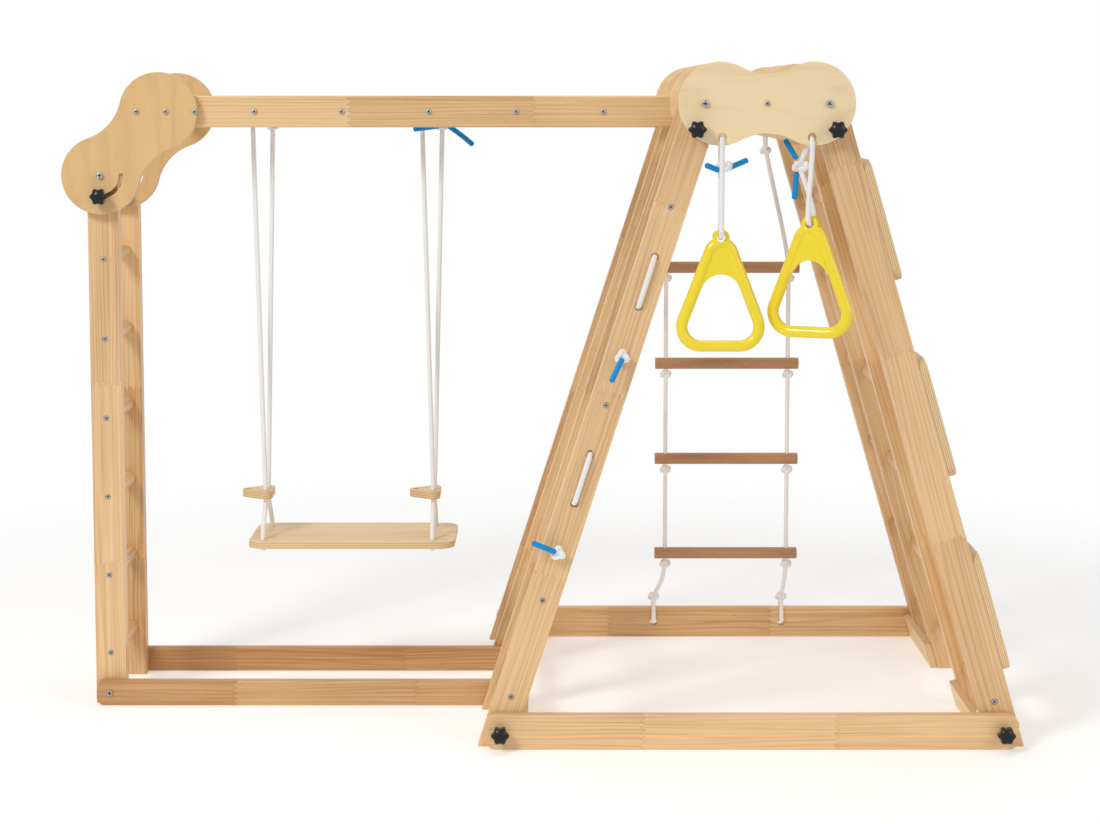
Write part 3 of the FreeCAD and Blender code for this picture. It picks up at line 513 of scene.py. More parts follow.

# CAD nodes of plywood: the way through the sheet, the face grain, the plies, the thickness, how much darker it
# is (in part its own tone, in part painted shade, and painted light where it is below nought, as on the front
# hub plate) and how golden it is
PLY_NODES = {
    "hub_plate_front": (Y_AXIS, X_AXIS, 9, 0.018, -0.05, 0.0),
    "hub_plate_mid_front": (Y_AXIS, X_AXIS, 9, 0.018, 0.08, 0.2),
    "hub_plate_mid_rear": (Y_AXIS, X_AXIS, 9, 0.018, 0.08, 0.2),
    "hub_plate_rear": (Y_AXIS, X_AXIS, 9, 0.018, 0.05, 0.2),
    "hinge_plate_front": (Y_AXIS, Z_AXIS, 9, 0.018, 0.12, 1.0),
    "hinge_plate_rear": (Y_AXIS, Z_AXIS, 9, 0.018, 0.12, 1.0),
    "climbing_boards": (RIGHT_ACROSS, Y_AXIS, 9, 0.015, 0.05, 0.3),
    "right_foot_braces": (RIGHT_ACROSS, Y_AXIS, 7, 0.012, 0.10, 0.4),
    "left_foot_braces": (LEFT_ACROSS, Y_AXIS, 7, 0.012, 0.10, 0.4),
    "swing_seat": (Z_AXIS, X_AXIS, 7, 0.012, 0.16, 0.3),
    "swing_spacers": (Z_AXIS, X_AXIS, 7, 0.015, 0.16, 0.5),
}


# Edges sharper than this angle are rounded, and points nearer than this gap are joined first
EDGE_ANGLE = math.radians(50)
WELD_GAP = 0.00001


def ease_edges(node, radius):
    """Round a CAD node's sharp edges: weld, join flat faces, bevel, then weight the normals by area."""
    weld = node.modifiers.new("weld", "WELD")
    weld.merge_threshold = WELD_GAP
    flat = node.modifiers.new("flat", "DECIMATE")
    flat.decimate_type = "DISSOLVE"
    flat.angle_limit = math.radians(1)
    bevel = node.modifiers.new("ease", "BEVEL")
    bevel.width = radius
    bevel.segments = 2
    bevel.limit_method = "ANGLE"
    bevel.angle_limit = EDGE_ANGLE
    bevel.use_clamp_overlap = True
    normals = node.modifiers.new("normals", "WEIGHTED_NORMAL")
    normals.keep_sharp = True
    node.data.polygons.foreach_set("use_smooth", np.ones(len(node.data.polygons), dtype=bool))


def dress(name, material):
    """Give a CAD node its material."""
    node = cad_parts[name]
    node.data.materials.clear()
    node.data.materials.append(material)
    return node


class PLAYSET_OT_timber(bpy.types.Operator):
    """Give the timber and plywood nodes their grain and eased edges"""

    bl_idname = "playset.timber"
    bl_label = "Timber"

    def execute(self, context):
        looks = context.scene.playset_looks
        for seed, (name, (along, staves, tone_and_painted_shade)) in enumerate(PINE_NODES.items(), start=1):
            node = dress(name, pine("pine_" + name, along, seed, looks, staves, tone_and_painted_shade))
            ease_edges(node, looks.edge_round if staves else looks.edge_round / 2)
        for seed, (name, given) in enumerate(PLY_NODES.items(), start=1):
            across, along, *values = given
            node = dress(name, ply("ply_" + name, across, along, seed * PLY_SHIFT, *values, looks))
            ease_edges(node, looks.edge_round / 2)
        node = dress("rope_ladder_rungs", turned_wood("beech_rungs", looks.beech, 3.0))
        ease_edges(node, looks.edge_round / 2)
        return {"FINISHED"}


class PLAYSET_OT_fittings(bpy.types.Operator):
    """Give the grips and screws their plastic and metal"""

    bl_idname = "playset.fittings"
    bl_label = "Fittings"

    def execute(self, context):
        looks = context.scene.playset_looks
        yellow = plain_paint("ring_plastic", looks.ring, 0.16, grain=60.0, coat=0.5)
        steel = plain_paint("screw_steel", looks.steel, 0.26, metallic=1.0, grain=1500.0)
        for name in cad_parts:
            if name in ("ring_left", "ring_right"):
                dress(name, yellow)
            elif any(part in name for part in ("screw", "bolt", "washer")):
                ease_edges(dress(name, steel), looks.edge_round / 3)
        return {"FINISHED"}


# Measures this close count as equal
CLOSE = 1e-4


def loose_parts(node):
    """The points of each solid of a CAD node: those that share an edge or a place are of one solid."""
    mesh = node.data
    points = np.zeros(len(mesh.vertices) * 3)
    mesh.vertices.foreach_get("co", points)
    points = points.reshape(-1, 3)
    edges = np.zeros(len(mesh.edges) * 2, dtype=np.int64)
    mesh.edges.foreach_get("vertices", edges)
    _, place = np.unique(np.round(points * 1e5).astype(np.int64), axis=0, return_inverse=True)
    ends = place.ravel()[edges].reshape(-1, 2)
    label = np.arange(place.max() + 1)
    settled = False
    while not settled:
        low = np.minimum(label[ends[:, 0]], label[ends[:, 1]])
        before = label.copy()
        np.minimum.at(label, ends[:, 0], low)
        np.minimum.at(label, ends[:, 1], low)
        settled = bool((label == before).all())
    owner = label[place.ravel()]
    return [points[owner == one] for one in np.unique(owner)]


def head_face(part):
    """Where a screw, bolt or knob shows its head: the face's centre, the radius and the side it looks to."""
    low, high = part.min(axis=0), part.max(axis=0)
    centre = (low + high) / 2
    reach = np.hypot(part[:, 0] - centre[0], part[:, 2] - centre[2])
    near = reach[part[:, 1] < low[1] + CLOSE].max()
    far = reach[part[:, 1] > high[1] - CLOSE].max()
    side = np.sign(centre[1]) if abs(near - far) < CLOSE else np.sign(far - near)
    centre[1] = high[1] if side > 0 else low[1]
    return centre, reach.max(), side


# A knob: its head's mean radius, lobes, height, sides and sharp edges, its collar and its stud
KNOB_MEAN_R = 0.0142
KNOB_LOBE = 0.0018
KNOB_LOBES = 6
KNOB_TALL = 0.020
KNOB_SIDES = 96
KNOB_SHARP = math.radians(40)
COLLAR_R = 0.008
COLLAR_TALL = 0.012
STUD_R = 0.003

# Rows of a knob's head from under its rim to its middle: shares of the outline, and the rim's rounding
UNDER_SHARE = 0.94
UNDER_ROUND = 0.001
KNOB_ROWS = ((1.0, 0.0030), (0.99, 0.0016), (0.96, 0.0006), (0.90, 0.0001), (0.75, 0.0), (0.5, 0.0),
             (0.25, 0.0))


def rows_mesh(centre, side, angle, rows, top):
    """Points and faces round the Y axis through a centre. Rows run from the far end to the face's middle:
    each is its distance from the axis and its depth under the centre. The middle has a depth of its own."""
    count = len(angle)
    points = []
    for radius, depth in rows:
        level = centre[1] - side * depth * np.ones(count)
        ring = [centre[0] + radius * np.cos(angle), level, centre[2] + radius * np.sin(angle)]
        points.append(np.stack(ring, axis=1))
    points.append(np.array([[centre[0], centre[1] - side * top, centre[2]]]))
    last = (len(rows) - 1) * count
    faces = [list(range(count))[::-1]]
    for k in range(count):
        after = (k + 1) % count
        for low in range(0, last, count):
            faces.append([low + k, low + after, low + count + after, low + count + k])
        faces.append([last + k, last + after, last + count])
    if side > 0:
        faces = [face[::-1] for face in faces]
    return np.concatenate(points), faces


def star_knob(part, dome):
    """A knob's stud, collar and lobed head. The head falls with the square of the distance from its middle,
    by the dome's height at the lobes' tips."""
    centre, tip, side = head_face(part)
    angle = np.linspace(0.0, 2 * math.pi, KNOB_SIDES, endpoint=False)
    star = KNOB_MEAN_R + KNOB_LOBE * np.cos(KNOB_LOBES * angle)
    seat = KNOB_TALL + COLLAR_TALL
    rows = [(STUD_R, np.ptp(part[:, 1])), (STUD_R, seat), (COLLAR_R, seat), (COLLAR_R, KNOB_TALL),
            (UNDER_SHARE * star, KNOB_TALL), (star, KNOB_TALL - UNDER_ROUND)]
    rows += [(share * star, dome * (share * star / tip) ** 2 + rounding) for share, rounding in KNOB_ROWS]
    points, faces = rows_mesh(centre, side, angle, rows, 0.0)
    return points, faces, np.zeros(len(points))


class PLAYSET_OT_knobs(bpy.types.Operator):
    """Put domed knobs in place of the flat ones"""

    bl_idname = "playset.knobs"
    bl_label = "Knobs"

    def execute(self, context):
        looks = context.scene.playset_looks
        black = plain_paint("knob_plastic", looks.knob, 0.14, grain=900.0, shine=0.3)
        for name in [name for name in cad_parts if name.startswith("knob_")]:
            part = loose_parts(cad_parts[name])[0]
            made = make_mesh("domed_" + name, *star_knob(part, looks.knob_dome), black, name)
            made.data.set_sharp_from_angle(angle=KNOB_SHARP)
            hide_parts(name)
        return {"FINISHED"}


# A screw's crossed recess as shares of the radius and of the dome, its mesh, and its turn from the one before
CROSS_WIDE = 0.17
CROSS_LONG = 0.62
DOME_FALL = 0.8
CROSS_DEEP = 0.9
CROSS_FLOOR = 0.1
SCREW_ROWS = 10
SCREW_SIDES = 40
SCREW_TURN = 0.7


def screw_cap(centre, radius, side, tall, turn):
    """A low dome with a crossed recess: its height falls with the squared share of the radius, and is less by
    the recess where either arm of the cross passes."""
    share = np.linspace(0.0, 1.0, SCREW_ROWS + 1)[:0:-1, None]
    angle = np.linspace(0.0, 2 * math.pi, SCREW_SIDES, endpoint=False)
    u = np.abs(share * np.cos(angle))
    v = np.abs(share * np.sin(angle))
    upright = np.maximum(u / CROSS_WIDE, v / CROSS_LONG)
    level = np.maximum(v / CROSS_WIDE, u / CROSS_LONG)
    recess = (np.minimum(upright, level) < 1.0).astype(float)
    rise = tall * (1 - DOME_FALL * share ** 2) - CROSS_DEEP * tall * recess
    rise[0] = 0.0
    rows = list(zip(radius * share, -rise))
    points, faces = rows_mesh(centre, side, angle + turn, rows, -CROSS_FLOOR * tall)
    # The recess and the middle point go out as the groove attribute, where the screw's paint puts painted
    # shade
    return points, faces, np.r_[recess.ravel(), 1.0]


# CAD nodes with screw and bolt heads that get a crossed recess, and their bodies
HEAD_NODES = {
    "left_screws": "left_leg", "right_screws": "right_leg", "ladder_screws": "end_ladder",
    "beam_screws": "hub_beam", "pivot_bolts": "hub_beam", "low_rail_bolts": "low_rails",
}


def screw_paint(name, colour):
    """Zinc-plated steel with painted shade that makes the crossed recess dark."""
    paint = Paint(name)
    recess = paint.attribute("groove")
    fleck = paint.speckle(1500.0)
    # painted shade: the steel turns nearly black where the groove attribute marks the recess
    paint.set("Base Color", (recess + fleck * 0.15).clamp().mix(tuple(colour), darkened(colour, 0.06)))
    paint.set("Roughness", (fleck * 0.2 + 0.26).clamp())
    paint.set("Metallic", 1.0)
    return paint.material


class PLAYSET_OT_screw_heads(bpy.types.Operator):
    """Put a domed face with a crossed recess on every screw and bolt head"""

    bl_idname = "playset.screw_heads"
    bl_label = "Screw heads"

    def execute(self, context):
        material = screw_paint("screw_face", context.scene.playset_looks.steel)
        tall = context.scene.playset_looks.head_dome
        for name, body in HEAD_NODES.items():
            heads = [head_face(part) for part in loose_parts(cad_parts[name])]
            caps = [screw_cap(*head, tall, SCREW_TURN * index) for index, head in enumerate(heads)]
            made = make_mesh("faces_" + name, *join_parts(caps), material, body)
        return {"FINISHED"}


def spline_points(points):
    """The points of a smooth line whose control points are the route's: a clamped quadratic NURBS."""
    data = bpy.data.curves.new("route", "CURVE")
    data.dimensions = "3D"
    data.resolution_u = 24
    line = data.splines.new("NURBS")
    line.points.add(len(points) - 1)
    line.points.foreach_set("co", np.c_[np.array(points, float), np.ones(len(points))].ravel())
    line.order_u = 3
    line.use_endpoint_u = True
    holder = bpy.data.objects.new("route", data)
    mesh = bpy.data.meshes.new_from_object(holder)
    found = np.zeros(len(mesh.vertices) * 3)
    mesh.vertices.foreach_get("co", found)
    bpy.data.objects.remove(holder)
    bpy.data.curves.remove(data)
    bpy.data.meshes.remove(mesh)
    return found.reshape(-1, 3)


def even_points(line, step):
    """The same line with its points an even step apart, found by length along it."""
    run = np.r_[0.0, np.cumsum(np.linalg.norm(np.diff(line, axis=0), axis=1))]
    count = max(8, int(run[-1] / step))
    at = np.linspace(0.0, run[-1], count + 1)
    return np.stack([np.interp(at, run, line[:, k]) for k in range(3)], axis=1), at


# A direction that no rope, knot or sleeve starts along
SIDEWAYS = (0.31, 0.77, 0.55)


def frames_along(line):
    """Two directions square to a line at each point, carried along without twist."""
    tangent = np.gradient(line, axis=0)
    tangent /= np.linalg.norm(tangent, axis=1, keepdims=True)
    start = np.cross(tangent[0], SIDEWAYS)
    side = np.zeros_like(line)
    side[0] = start / np.linalg.norm(start)
    for k in range(1, len(line)):
        carried = side[k - 1] - tangent[k] * np.dot(side[k - 1], tangent[k])
        side[k] = carried / np.linalg.norm(carried)
    return side, np.cross(tangent, side)


# How far a braid's strands stand out, and the size of a tube's blunt ends, as shares of the radius
RELIEF = 0.075
BLUNT = 0.55


def tube(line, at, radius, around, strands=0, lay=1.0, closed=False):
    """A tube's points, faces and groove depth: radius times one less the relief, plus the relief where the
    higher of two opposite helices of strands stands."""
    side, other = frames_along(line)
    angle = np.linspace(0.0, 2 * math.pi, around, endpoint=False)
    turn = (2 * math.pi / lay) * at[:, None]
    if strands:
        high = np.maximum(np.cos(strands * (angle[None] + turn)), np.cos(strands * (angle[None] - turn)))
    else:
        high = np.ones((len(line), around))
    high = 0.5 + 0.5 * high
    size = radius * (1 - RELIEF + RELIEF * high)
    if not closed:
        size[0] *= BLUNT
        size[-1] *= BLUNT
    ring = np.cos(angle)[None, :, None] * side[:, None, :] + np.sin(angle)[None, :, None] * other[:, None, :]
    points = line[:, None, :] + size[:, :, None] * ring
    rows = np.arange(len(line) - (0 if closed else 1))
    a, b = np.meshgrid(rows, np.arange(around), indexing="ij")
    nxt = (a + 1) % len(line)
    right = (b + 1) % around
    quads = np.stack([a * around + b, a * around + right, nxt * around + right, nxt * around + b], axis=-1)
    faces = [list(q) for q in quads.reshape(-1, 4)]
    if not closed:
        faces.append(list(range(around))[::-1])
        faces.append([(len(line) - 1) * around + k for k in range(around)])
    return points.reshape(-1, 3), faces, (1 - high).ravel()


def join_parts(parts):
    """Several parts as one list of points, faces and grooves."""
    points = []
    faces = []
    grooves = []
    start = 0
    for part, quads, groove in parts:
        points.append(part)
        grooves.append(groove)
        faces += [[start + k for k in quad] for quad in quads]
        start += len(part)
    return np.concatenate(points), faces, np.concatenate(grooves)


def make_mesh(name, points, faces, groove, material, body):
    """A smooth mesh object that rides on its body, or, for a rope listed in BENDS, stays fixed where it is
    laid.
    """
    mesh = bpy.data.meshes.new(name)
    mesh.from_pydata(points.tolist(), [], faces)
    mesh.polygons.foreach_set("use_smooth", np.ones(len(mesh.polygons), dtype=bool))
    # The groove attribute marks where the rope's and the screws' paint puts painted shade
    layer = mesh.attributes.new("groove", "FLOAT", "POINT")
    layer.data.foreach_set("value", groove.astype(np.float32))
    mesh.materials.append(material)
    mesh.update()
    made = bpy.data.objects.new(name, mesh)
    bpy.context.scene.collection.objects.link(made)
    if name in BENDS:
        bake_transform(made)
    else:
        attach(made, body)
    return made


def leg_point(drop, y):
    """A point on the left leg's axis, at a distance below its pivot."""
    return (HUB_X - PIVOT_HALF - drop * math.sin(LEFT_TILT), y, PIVOT_Z - drop * math.cos(LEFT_TILT))


# A swing rope's points, with X from its bar: over the bar, then a strand through the spacer to under the seat
SWING_OVER = ((BAR_BESIDE, 0.0, 1.087), (BAR_BESIDE, 0.0, 1.112), (BAR_BESIDE, 0.0, 1.131),
              (-BAR_BESIDE, 0.0, 1.131))
SWING_STRAND = ((-0.01865, -0.0014, 1.077), (-0.0015, -0.0186, 0.4235), (0.0, -0.0198, 0.3775),
                (0.0, -0.020, 0.3695), (0.0, -0.0268, 0.3622), (0.0, -0.074, 0.312), (0.0, -0.074, 0.295),
                (0.0, -0.074, 0.2855), (0.0, -0.064, 0.2855))


def swing_route(bar):
    """From a knot beside a bar over it, down through the spacer and the seat, under the seat and up again."""
    down = [(bar + x, y, z) for x, y, z in SWING_OVER + SWING_STRAND]
    return down + [(bar - x, -y, z) for x, y, z in reversed(SWING_STRAND)]


def ring_route(x, aside, low, turn):
    """From a knot behind the hub plate through its hole, down to the grip's eye and back to the knot."""
    reach_x = GRIP_EYE_REACH * math.sin(turn)
    reach_y = GRIP_EYE_REACH * math.cos(turn)
    front = (x - reach_x, -PLATE_MID - reach_y)
    back = (x + reach_x, -PLATE_MID + reach_y)
    return [(x - aside, -PLATE_INSIDE, 1.026), (x, -PLATE_INSIDE, 1.069), (x, -PLATE_OUTSIDE, 1.069),
            (x, -PLATE_OUTSIDE, 1.041), (*front, low + 0.03), (*front, low), (*back, low),
            (*back, low + 0.03), (x - aside, -PLATE_INSIDE, 1.015)]


def ladder_route(sign):
    """A loop through the rear hub plate, down through the rungs, and a loop through the floor rail."""
    top = HUB_X + sign * ROPE_HOLE_X
    near = top - sign * 0.0014
    rung = HUB_X + sign * LADDER_RUNG_X
    tie = FRAME_X + sign * TIE_X
    return [(top, 0.4105, LADDER_KNOT_Z), (near, PLATE_INSIDE, 1.049), (near, PLATE_INSIDE, ROPE_HOLE_Z),
            (top, PLATE_OUTSIDE, ROPE_HOLE_Z), (top, PLATE_OUTSIDE, 1.049), (top, LADDER_Y, LADDER_KNOT_Z),
            *[(rung, LADDER_Y, height) for height in (0.807, 0.750, 0.200, 0.129)],
            (tie, LADDER_Y, TIE_KNOT_Z), (tie, 0.4275, 0.062), (tie, 0.4275, 0.031),
            (tie, PLATE_INSIDE, 0.031), (tie, PLATE_INSIDE, 0.062), (tie, 0.4105, TIE_KNOT_Z)]


def net_route(high, mid, low):
    """From a knot on the front rail across to the second, up, back, up the front face and across again."""
    spots = [(low, NET_FRONT), (low, -0.385), (low, -0.150), (low, -0.1315), (mid, -0.1315), (mid, -0.150),
             (mid, -0.387), (mid, -0.4055), (mid - 0.016, -0.4065), (high + 0.016, -0.4065), (high, -0.4055),
             (high, -0.387), (high, -0.150), (high, NET_BACK)]
    return [leg_point(drop, y) for drop, y in spots]


def net_levels(first):
    """Drops of a net rope's three crossings, half a rung pitch apart."""
    return [RUNG_FIRST + (first + half) * RUNG_PITCH for half in (0.0, 0.5, 1.0)]


# Each rope by its CAD node: its route, its body and its length
ROPES = {
    "swing_rope_left": (swing_route(BAR_ONE), "swing", 1.884),
    "swing_rope_right": (swing_route(BAR_THREE), "swing", 1.884),
    "ring_rope_left": (ring_route(HUB_X - ROPE_HOLE_X, 0.0, GRIP_LOW_LEFT, 0.0), "ring_left", 0.372),
    "ring_rope_right": (ring_route(HUB_X + ROPE_HOLE_X, RIGHT_ASIDE, GRIP_LOW_RIGHT, GRIP_TURN_RIGHT),
                        "ring_right", 0.330),
    "rope_ladder_rope_left": (ladder_route(-1), "hub_beam", 1.211),
    "rope_ladder_rope_right": (ladder_route(1), "hub_beam", 1.207),
    "net_rope_upper": (net_route(*net_levels(NET_FIRSTS[0])), "left_leg", 0.999),
    "net_rope_lower": (net_route(*net_levels(NET_FIRSTS[1])), "left_leg", 0.999),
}


def bend(body, x, y, heights):
    """A bend from the hub and beam to another body, straight down between two heights."""
    return ("hub_beam", body, (x, y, heights[0]), (x, y, heights[1]))


# Ropes that pass from one moving body to the next: both bodies, and where the bend starts and ends
BENDS = {
    "braid_swing_rope_left": bend("swing", BAR_ONE, 0.0, SWING_BEND),
    "braid_swing_rope_right": bend("swing", BAR_THREE, 0.0, SWING_BEND),
    "braid_rope_ladder_rope_left": bend("left_leg", LADDER_TIES[0], LADDER_Y, LADDER_BEND),
    "braid_rope_ladder_rope_right": bend("left_leg", LADDER_TIES[1], LADDER_Y, LADDER_BEND),
}


# Sides round a rope, a knot's rope and a sleeve, and the distance between a sleeve's rings
ROPE_SIDES = 20
KNOT_SIDES = 14
SLEEVE_SIDES = 18
SLEEVE_STEP = 0.002


class PLAYSET_OT_ropes(bpy.types.Operator):
    """Lay braided ropes along their routes in place of the plain tubes"""

    bl_idname = "playset.ropes"
    bl_label = "Ropes"

    def execute(self, context):
        sizes = context.scene.playset_ropes
        material = rope_paint("braided_rope", context.scene.playset_looks.rope)
        for name, (route, body, length) in ROPES.items():
            line, at = even_points(spline_points(route), sizes.step)
            points, faces, groove = tube(line, at, sizes.diameter / 2, ROPE_SIDES, sizes.strands, sizes.lay)
            made = make_mesh("braid_" + name, points, faces, groove, material, body)
            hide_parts(name)
        return {"FINISHED"}


# A knot: points along its line, how tall its lobes cross, and its braid
KNOT_POINTS = 90
KNOT_TALL = 1.25
KNOT_STRANDS = 6
KNOT_LAYS = 5.0


def knot_tube(centre, axis, size, radius):
    """A stopper knot: a tube along a three-lobed knot, flat across the rope's direction."""
    t = np.linspace(0.0, 2 * math.pi, KNOT_POINTS, endpoint=False)
    lobes = [np.sin(t) + 2 * np.sin(2 * t), np.cos(t) - 2 * np.cos(2 * t), -KNOT_TALL * np.sin(3 * t)]
    flat = np.stack(lobes, axis=1)
    flat *= (size / 2 - radius) / 3.0
    forward = np.array(axis, float) / np.linalg.norm(axis)
    side, other = side_axes(forward)
    line = np.array(centre) + flat[:, :1] * side + flat[:, 1:2] * other + flat[:, 2:] * forward
    closing = np.concatenate([line, line[:1]])
    at = np.cumsum(np.linalg.norm(np.diff(closing, axis=0), axis=1))
    return tube(line, at, radius, KNOT_SIDES, KNOT_STRANDS, at[-1] / KNOT_LAYS, closed=True)


def ladder_knots():
    """Knots at the top of the rope ladder and under each of its rungs."""
    found = []
    for sign in (-1, 1):
        found.append(((HUB_X + sign * ROPE_HOLE_X, LADDER_Y, LADDER_KNOT_Z), Z_AXIS))
        for rung in range(LADDER_RUNGS):
            height = LADDER_RUNG_Z - LADDER_PITCH * rung - LADDER_KNOT_DROP
            found.append(((HUB_X + sign * LADDER_RUNG_X, LADDER_Y, height), Z_AXIS))
    return found


def net_knots():
    """Knots at both ends of each net rope."""
    found = []
    for first in NET_FIRSTS:
        high, _, low = net_levels(first)
        found.append((leg_point(low, NET_FRONT), Y_AXIS))
        found.append((leg_point(high, NET_BACK), Y_AXIS))
    return found


RING_LEFT_KNOT = (HUB_X - ROPE_HOLE_X + LEFT_KNOT_ASIDE, -PLATE_INSIDE, GRIP_KNOT_Z)
RING_RIGHT_KNOT = (HUB_X + ROPE_HOLE_X - RIGHT_ASIDE, -PLATE_INSIDE, GRIP_KNOT_Z)
BAR_KNOTS = [(bar + BAR_BESIDE, 0.0, BAR_KNOT_Z) for bar in (BAR_ONE, BAR_THREE)]

# Each group of knots: its body, its share of the common size, and the place and direction of each
KNOTS = {
    "bar_knots": ("hub_beam", 1.0, [(spot, Z_AXIS) for spot in BAR_KNOTS]),
    "ring_knot_left": ("ring_left", 1.25, [(RING_LEFT_KNOT, Z_AXIS)]),
    "ring_knot_right": ("ring_right", 1.25, [(RING_RIGHT_KNOT, Z_AXIS)]),
    "rope_ladder_knots": ("hub_beam", 1.0, ladder_knots()),
    "rope_ladder_tie_knots": ("left_leg", 1.0, [((x, LADDER_Y, TIE_KNOT_Z), Z_AXIS) for x in LADDER_TIES]),
    "net_knots": ("left_leg", 1.1, net_knots()),
}


class PLAYSET_OT_knots(bpy.types.Operator):
    """Tie the knots of the ropes"""

    bl_idname = "playset.knots"
    bl_label = "Knots"

    def execute(self, context):
        sizes = context.scene.playset_ropes
        material = bpy.data.materials["braided_rope"]
        for name, (body, share, spots) in KNOTS.items():
            size = sizes.knot_size * share
            parts = [knot_tube(spot, axis, size, sizes.diameter / 2) for spot, axis in spots]
            made = make_mesh(name, *join_parts(parts), material, body)
        return {"FINISHED"}


def sleeve_line(knot, start, end, sag):
    """A short line beside a knot that leaves its start straight and droops a little towards its end."""
    t = np.linspace(0.0, 1.0, 15)[:, None]
    straight = np.array(knot) + np.array(start) * (1 - t) + np.array(end) * t
    return straight + np.array((0.0, 0.0, -sag)) * t ** 2


NET_HIGH_KNOT = leg_point(net_levels(NET_FIRSTS[0])[2], NET_FRONT)
NET_LOW_KNOT = leg_point(net_levels(NET_FIRSTS[1])[2], NET_FRONT)

# Each group of sleeves: its body, and for each sleeve its knot, its start and end from there, and its droop
SLEEVES = {
    "bar_sleeves": ("hub_beam", [
        (BAR_KNOTS[0], (-0.006, -0.012, 0.004), (-0.054, -0.024, 0.006), 0.0),
        (BAR_KNOTS[0], (0.008, -0.004, 0.004), (0.050, -0.012, 0.008), 0.0),
        (BAR_KNOTS[1], (-0.006, -0.012, 0.0), (-0.054, -0.024, -0.006), 0.0),
        (BAR_KNOTS[1], (0.008, -0.004, 0.002), (0.058, -0.012, -0.030), 0.006)]),
    "ring_sleeves_left": ("ring_left", [
        (RING_LEFT_KNOT, (-0.008, -0.010, -0.007), (-0.033, -0.017, 0.003), 0.0),
        (RING_LEFT_KNOT, (0.008, 0.0, -0.003), (0.042, 0.005, 0.011), 0.0)]),
    "ring_sleeves_right": ("ring_right", [
        (RING_RIGHT_KNOT, (-0.006, 0.004, 0.012), (-0.026, 0.010, 0.046), 0.0),
        (RING_RIGHT_KNOT, (-0.006, 0.004, -0.010), (-0.009, 0.008, -0.057), 0.0)]),
    "net_sleeves": ("left_leg", [
        (NET_HIGH_KNOT, (0.0, -0.006, -0.002), (-0.020, -0.018, -0.040), 0.002),
        (NET_LOW_KNOT, (-0.004, -0.006, 0.003), (-0.046, -0.016, 0.022), 0.0)]),
}


class PLAYSET_OT_sleeves(bpy.types.Operator):
    """Put the coloured sleeves on the rope ends"""

    bl_idname = "playset.sleeves"
    bl_label = "Sleeves"

    def execute(self, context):
        sizes = context.scene.playset_ropes
        colour = context.scene.playset_looks.sleeve
        material = plain_paint("sleeve_plastic", colour, 0.38, grain=500.0, shine=0.25)
        for name, (body, spans) in SLEEVES.items():
            parts = []
            for span in spans:
                line, at = even_points(sleeve_line(*span), SLEEVE_STEP)
                parts.append(tube(line, at, sizes.sleeve_diameter / 2, SLEEVE_SIDES))
            make_mesh(name, *join_parts(parts), material, body)
        return {"FINISHED"}


# Area lights: where each stands, its width and height, and the stage's value for its power
LIGHTS = {
    "key": ((-2.6, -3.2, 3.6), 1.3, 1.3, "key"),
    "fill": ((3.4, -2.4, 2.2), 2.2, 2.2, "fill"),
    "top": ((0.0, 0.6, 4.2), 3.0, 2.0, "fill"),
}
LIGHT_AIM = (0.0, 0.0, 0.6)
SENSOR_WIDTH = 36.0


def area_light(name, place, target, power, width, height):
    """A rectangular light that looks at a target."""
    data = bpy.data.lights.new(name, "AREA")
    data.energy = power
    data.shape = "RECTANGLE"
    data.size = width
    data.size_y = height
    made = bpy.data.objects.new(name, data)
    made.location = place
    made.rotation_mode = "QUATERNION"
    made.rotation_quaternion = (Vector(target) - Vector(place)).to_track_quat("-Z", "Y")
    bpy.context.scene.collection.objects.link(made)


# The surround's colour as a light, and its colour to the kinds of rays that see it plain
SOFT_WHITE = (1.0, 0.985, 0.965, 1.0)
PLAIN_WHITE = (1.0, 1.0, 1.0, 1.0)
PLAIN_RAYS = ("Camera", "Glossy", "Transmission")


def white_surround(strength):
    """A world that lights the object softly, and is plain white to the camera and in reflections."""
    world = bpy.data.worlds.new("surround")
    world.use_nodes = True
    bpy.context.scene.world = world
    tree = world.node_tree
    tree.nodes.clear()
    rays = tree.nodes.new("ShaderNodeLightPath")
    seen, glossy, through = [Sock(tree, rays.outputs["Is %s Ray" % kind]) for kind in PLAIN_RAYS]
    blend = tree.nodes.new("ShaderNodeMixShader")
    tree.links.new((seen + glossy + through).clamp().socket, blend.inputs[0])
    for port, colour, power in ((1, SOFT_WHITE, strength), (2, PLAIN_WHITE, 1.0)):
        shade = tree.nodes.new("ShaderNodeBackground")
        shade.inputs["Color"].default_value = colour
        shade.inputs["Strength"].default_value = power
        tree.links.new(shade.outputs[0], blend.inputs[port])
    out = tree.nodes.new("ShaderNodeOutputWorld")
    tree.links.new(blend.outputs[0], out.inputs[0])


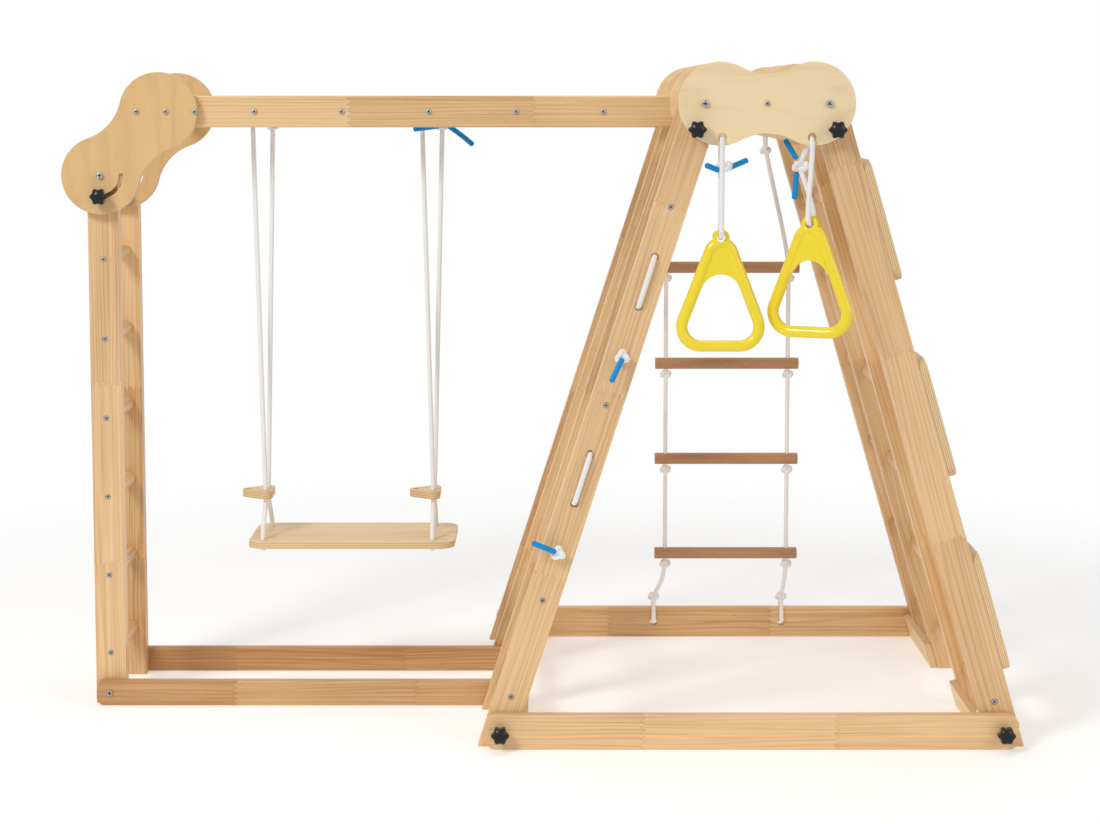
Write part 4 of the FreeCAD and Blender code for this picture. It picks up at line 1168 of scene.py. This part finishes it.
class PLAYSET_OT_stage(bpy.types.Operator):
    """Set up the camera, the light and the pale floor"""

    bl_idname = "playset.stage"
    bl_label = "Stage"

    def execute(self, context):
        stage = context.scene.playset_stage
        data = bpy.data.cameras.new("camera")
        data.lens = stage.lens
        data.sensor_width = SENSOR_WIDTH
        data.shift_y = stage.shift
        camera = bpy.data.objects.new("camera", data)
        camera.location = (stage.camera_x, -stage.camera_back, stage.camera_high)
        camera.rotation_euler = (math.pi / 2 - stage.pitch, 0.0, 0.0)
        context.scene.collection.objects.link(camera)
        context.scene.camera = camera
        for name, (place, width, height, power) in LIGHTS.items():
            area_light(name, place, LIGHT_AIM, getattr(stage, power), width, height)
        white_surround(stage.ambient)
        half = stage.floor
        mesh = bpy.data.meshes.new("floor")
        corners = [(-half, -half, 0), (half, -half, 0), (half, half, 0), (-half, half, 0)]
        mesh.from_pydata(corners, [], [(0, 1, 2, 3)])
        mesh.materials.append(floor_paint("floor_white", half))
        floor = bpy.data.objects.new("floor", mesh)
        context.scene.collection.objects.link(floor)
        context.scene.view_settings.view_transform = "Standard"
        return {"FINISHED"}


class PLAYSET_PT_panel(bpy.types.Panel):
    """The playset's looks, ropes and stage"""

    bl_idname = "PLAYSET_PT_panel"
    bl_label = "Playset"
    bl_space_type = "VIEW_3D"
    bl_region_type = "UI"
    bl_category = "Playset"

    def draw(self, context):
        for group in [getattr(context.scene, name) for name in GROUPS]:
            box = self.layout.box()
            for name in group.__annotations__:
                box.prop(group, name)
        for operator in OPERATORS:
            self.layout.operator(operator.bl_idname)


GROUPS = {"playset_looks": PlaysetLooks, "playset_ropes": PlaysetRopes, "playset_stage": PlaysetStage}
OPERATORS = (PLAYSET_OT_stage, PLAYSET_OT_ropes, PLAYSET_OT_knots, PLAYSET_OT_sleeves, PLAYSET_OT_timber,
             PLAYSET_OT_fittings, PLAYSET_OT_knobs, PLAYSET_OT_screw_heads)


def register():
    for name, group in GROUPS.items():
        bpy.utils.register_class(group)
        setattr(bpy.types.Scene, name, bpy.props.PointerProperty(type=group))
    for item in (*OPERATORS, PLAYSET_PT_panel):
        bpy.utils.register_class(item)


def unregister():
    for item in reversed((*OPERATORS, PLAYSET_PT_panel)):
        bpy.utils.unregister_class(item)
    for name, group in GROUPS.items():
        delattr(bpy.types.Scene, name)
        bpy.utils.unregister_class(group)


def main():
    register()
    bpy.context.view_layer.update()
    bpy.ops.playset.stage()
    bpy.ops.playset.ropes()
    bpy.ops.playset.knots()
    bpy.ops.playset.sleeves()
    bpy.ops.playset.timber()
    bpy.ops.playset.fittings()
    bpy.ops.playset.knobs()
    bpy.ops.playset.screw_heads()


if __name__ == "__main__":
    main()
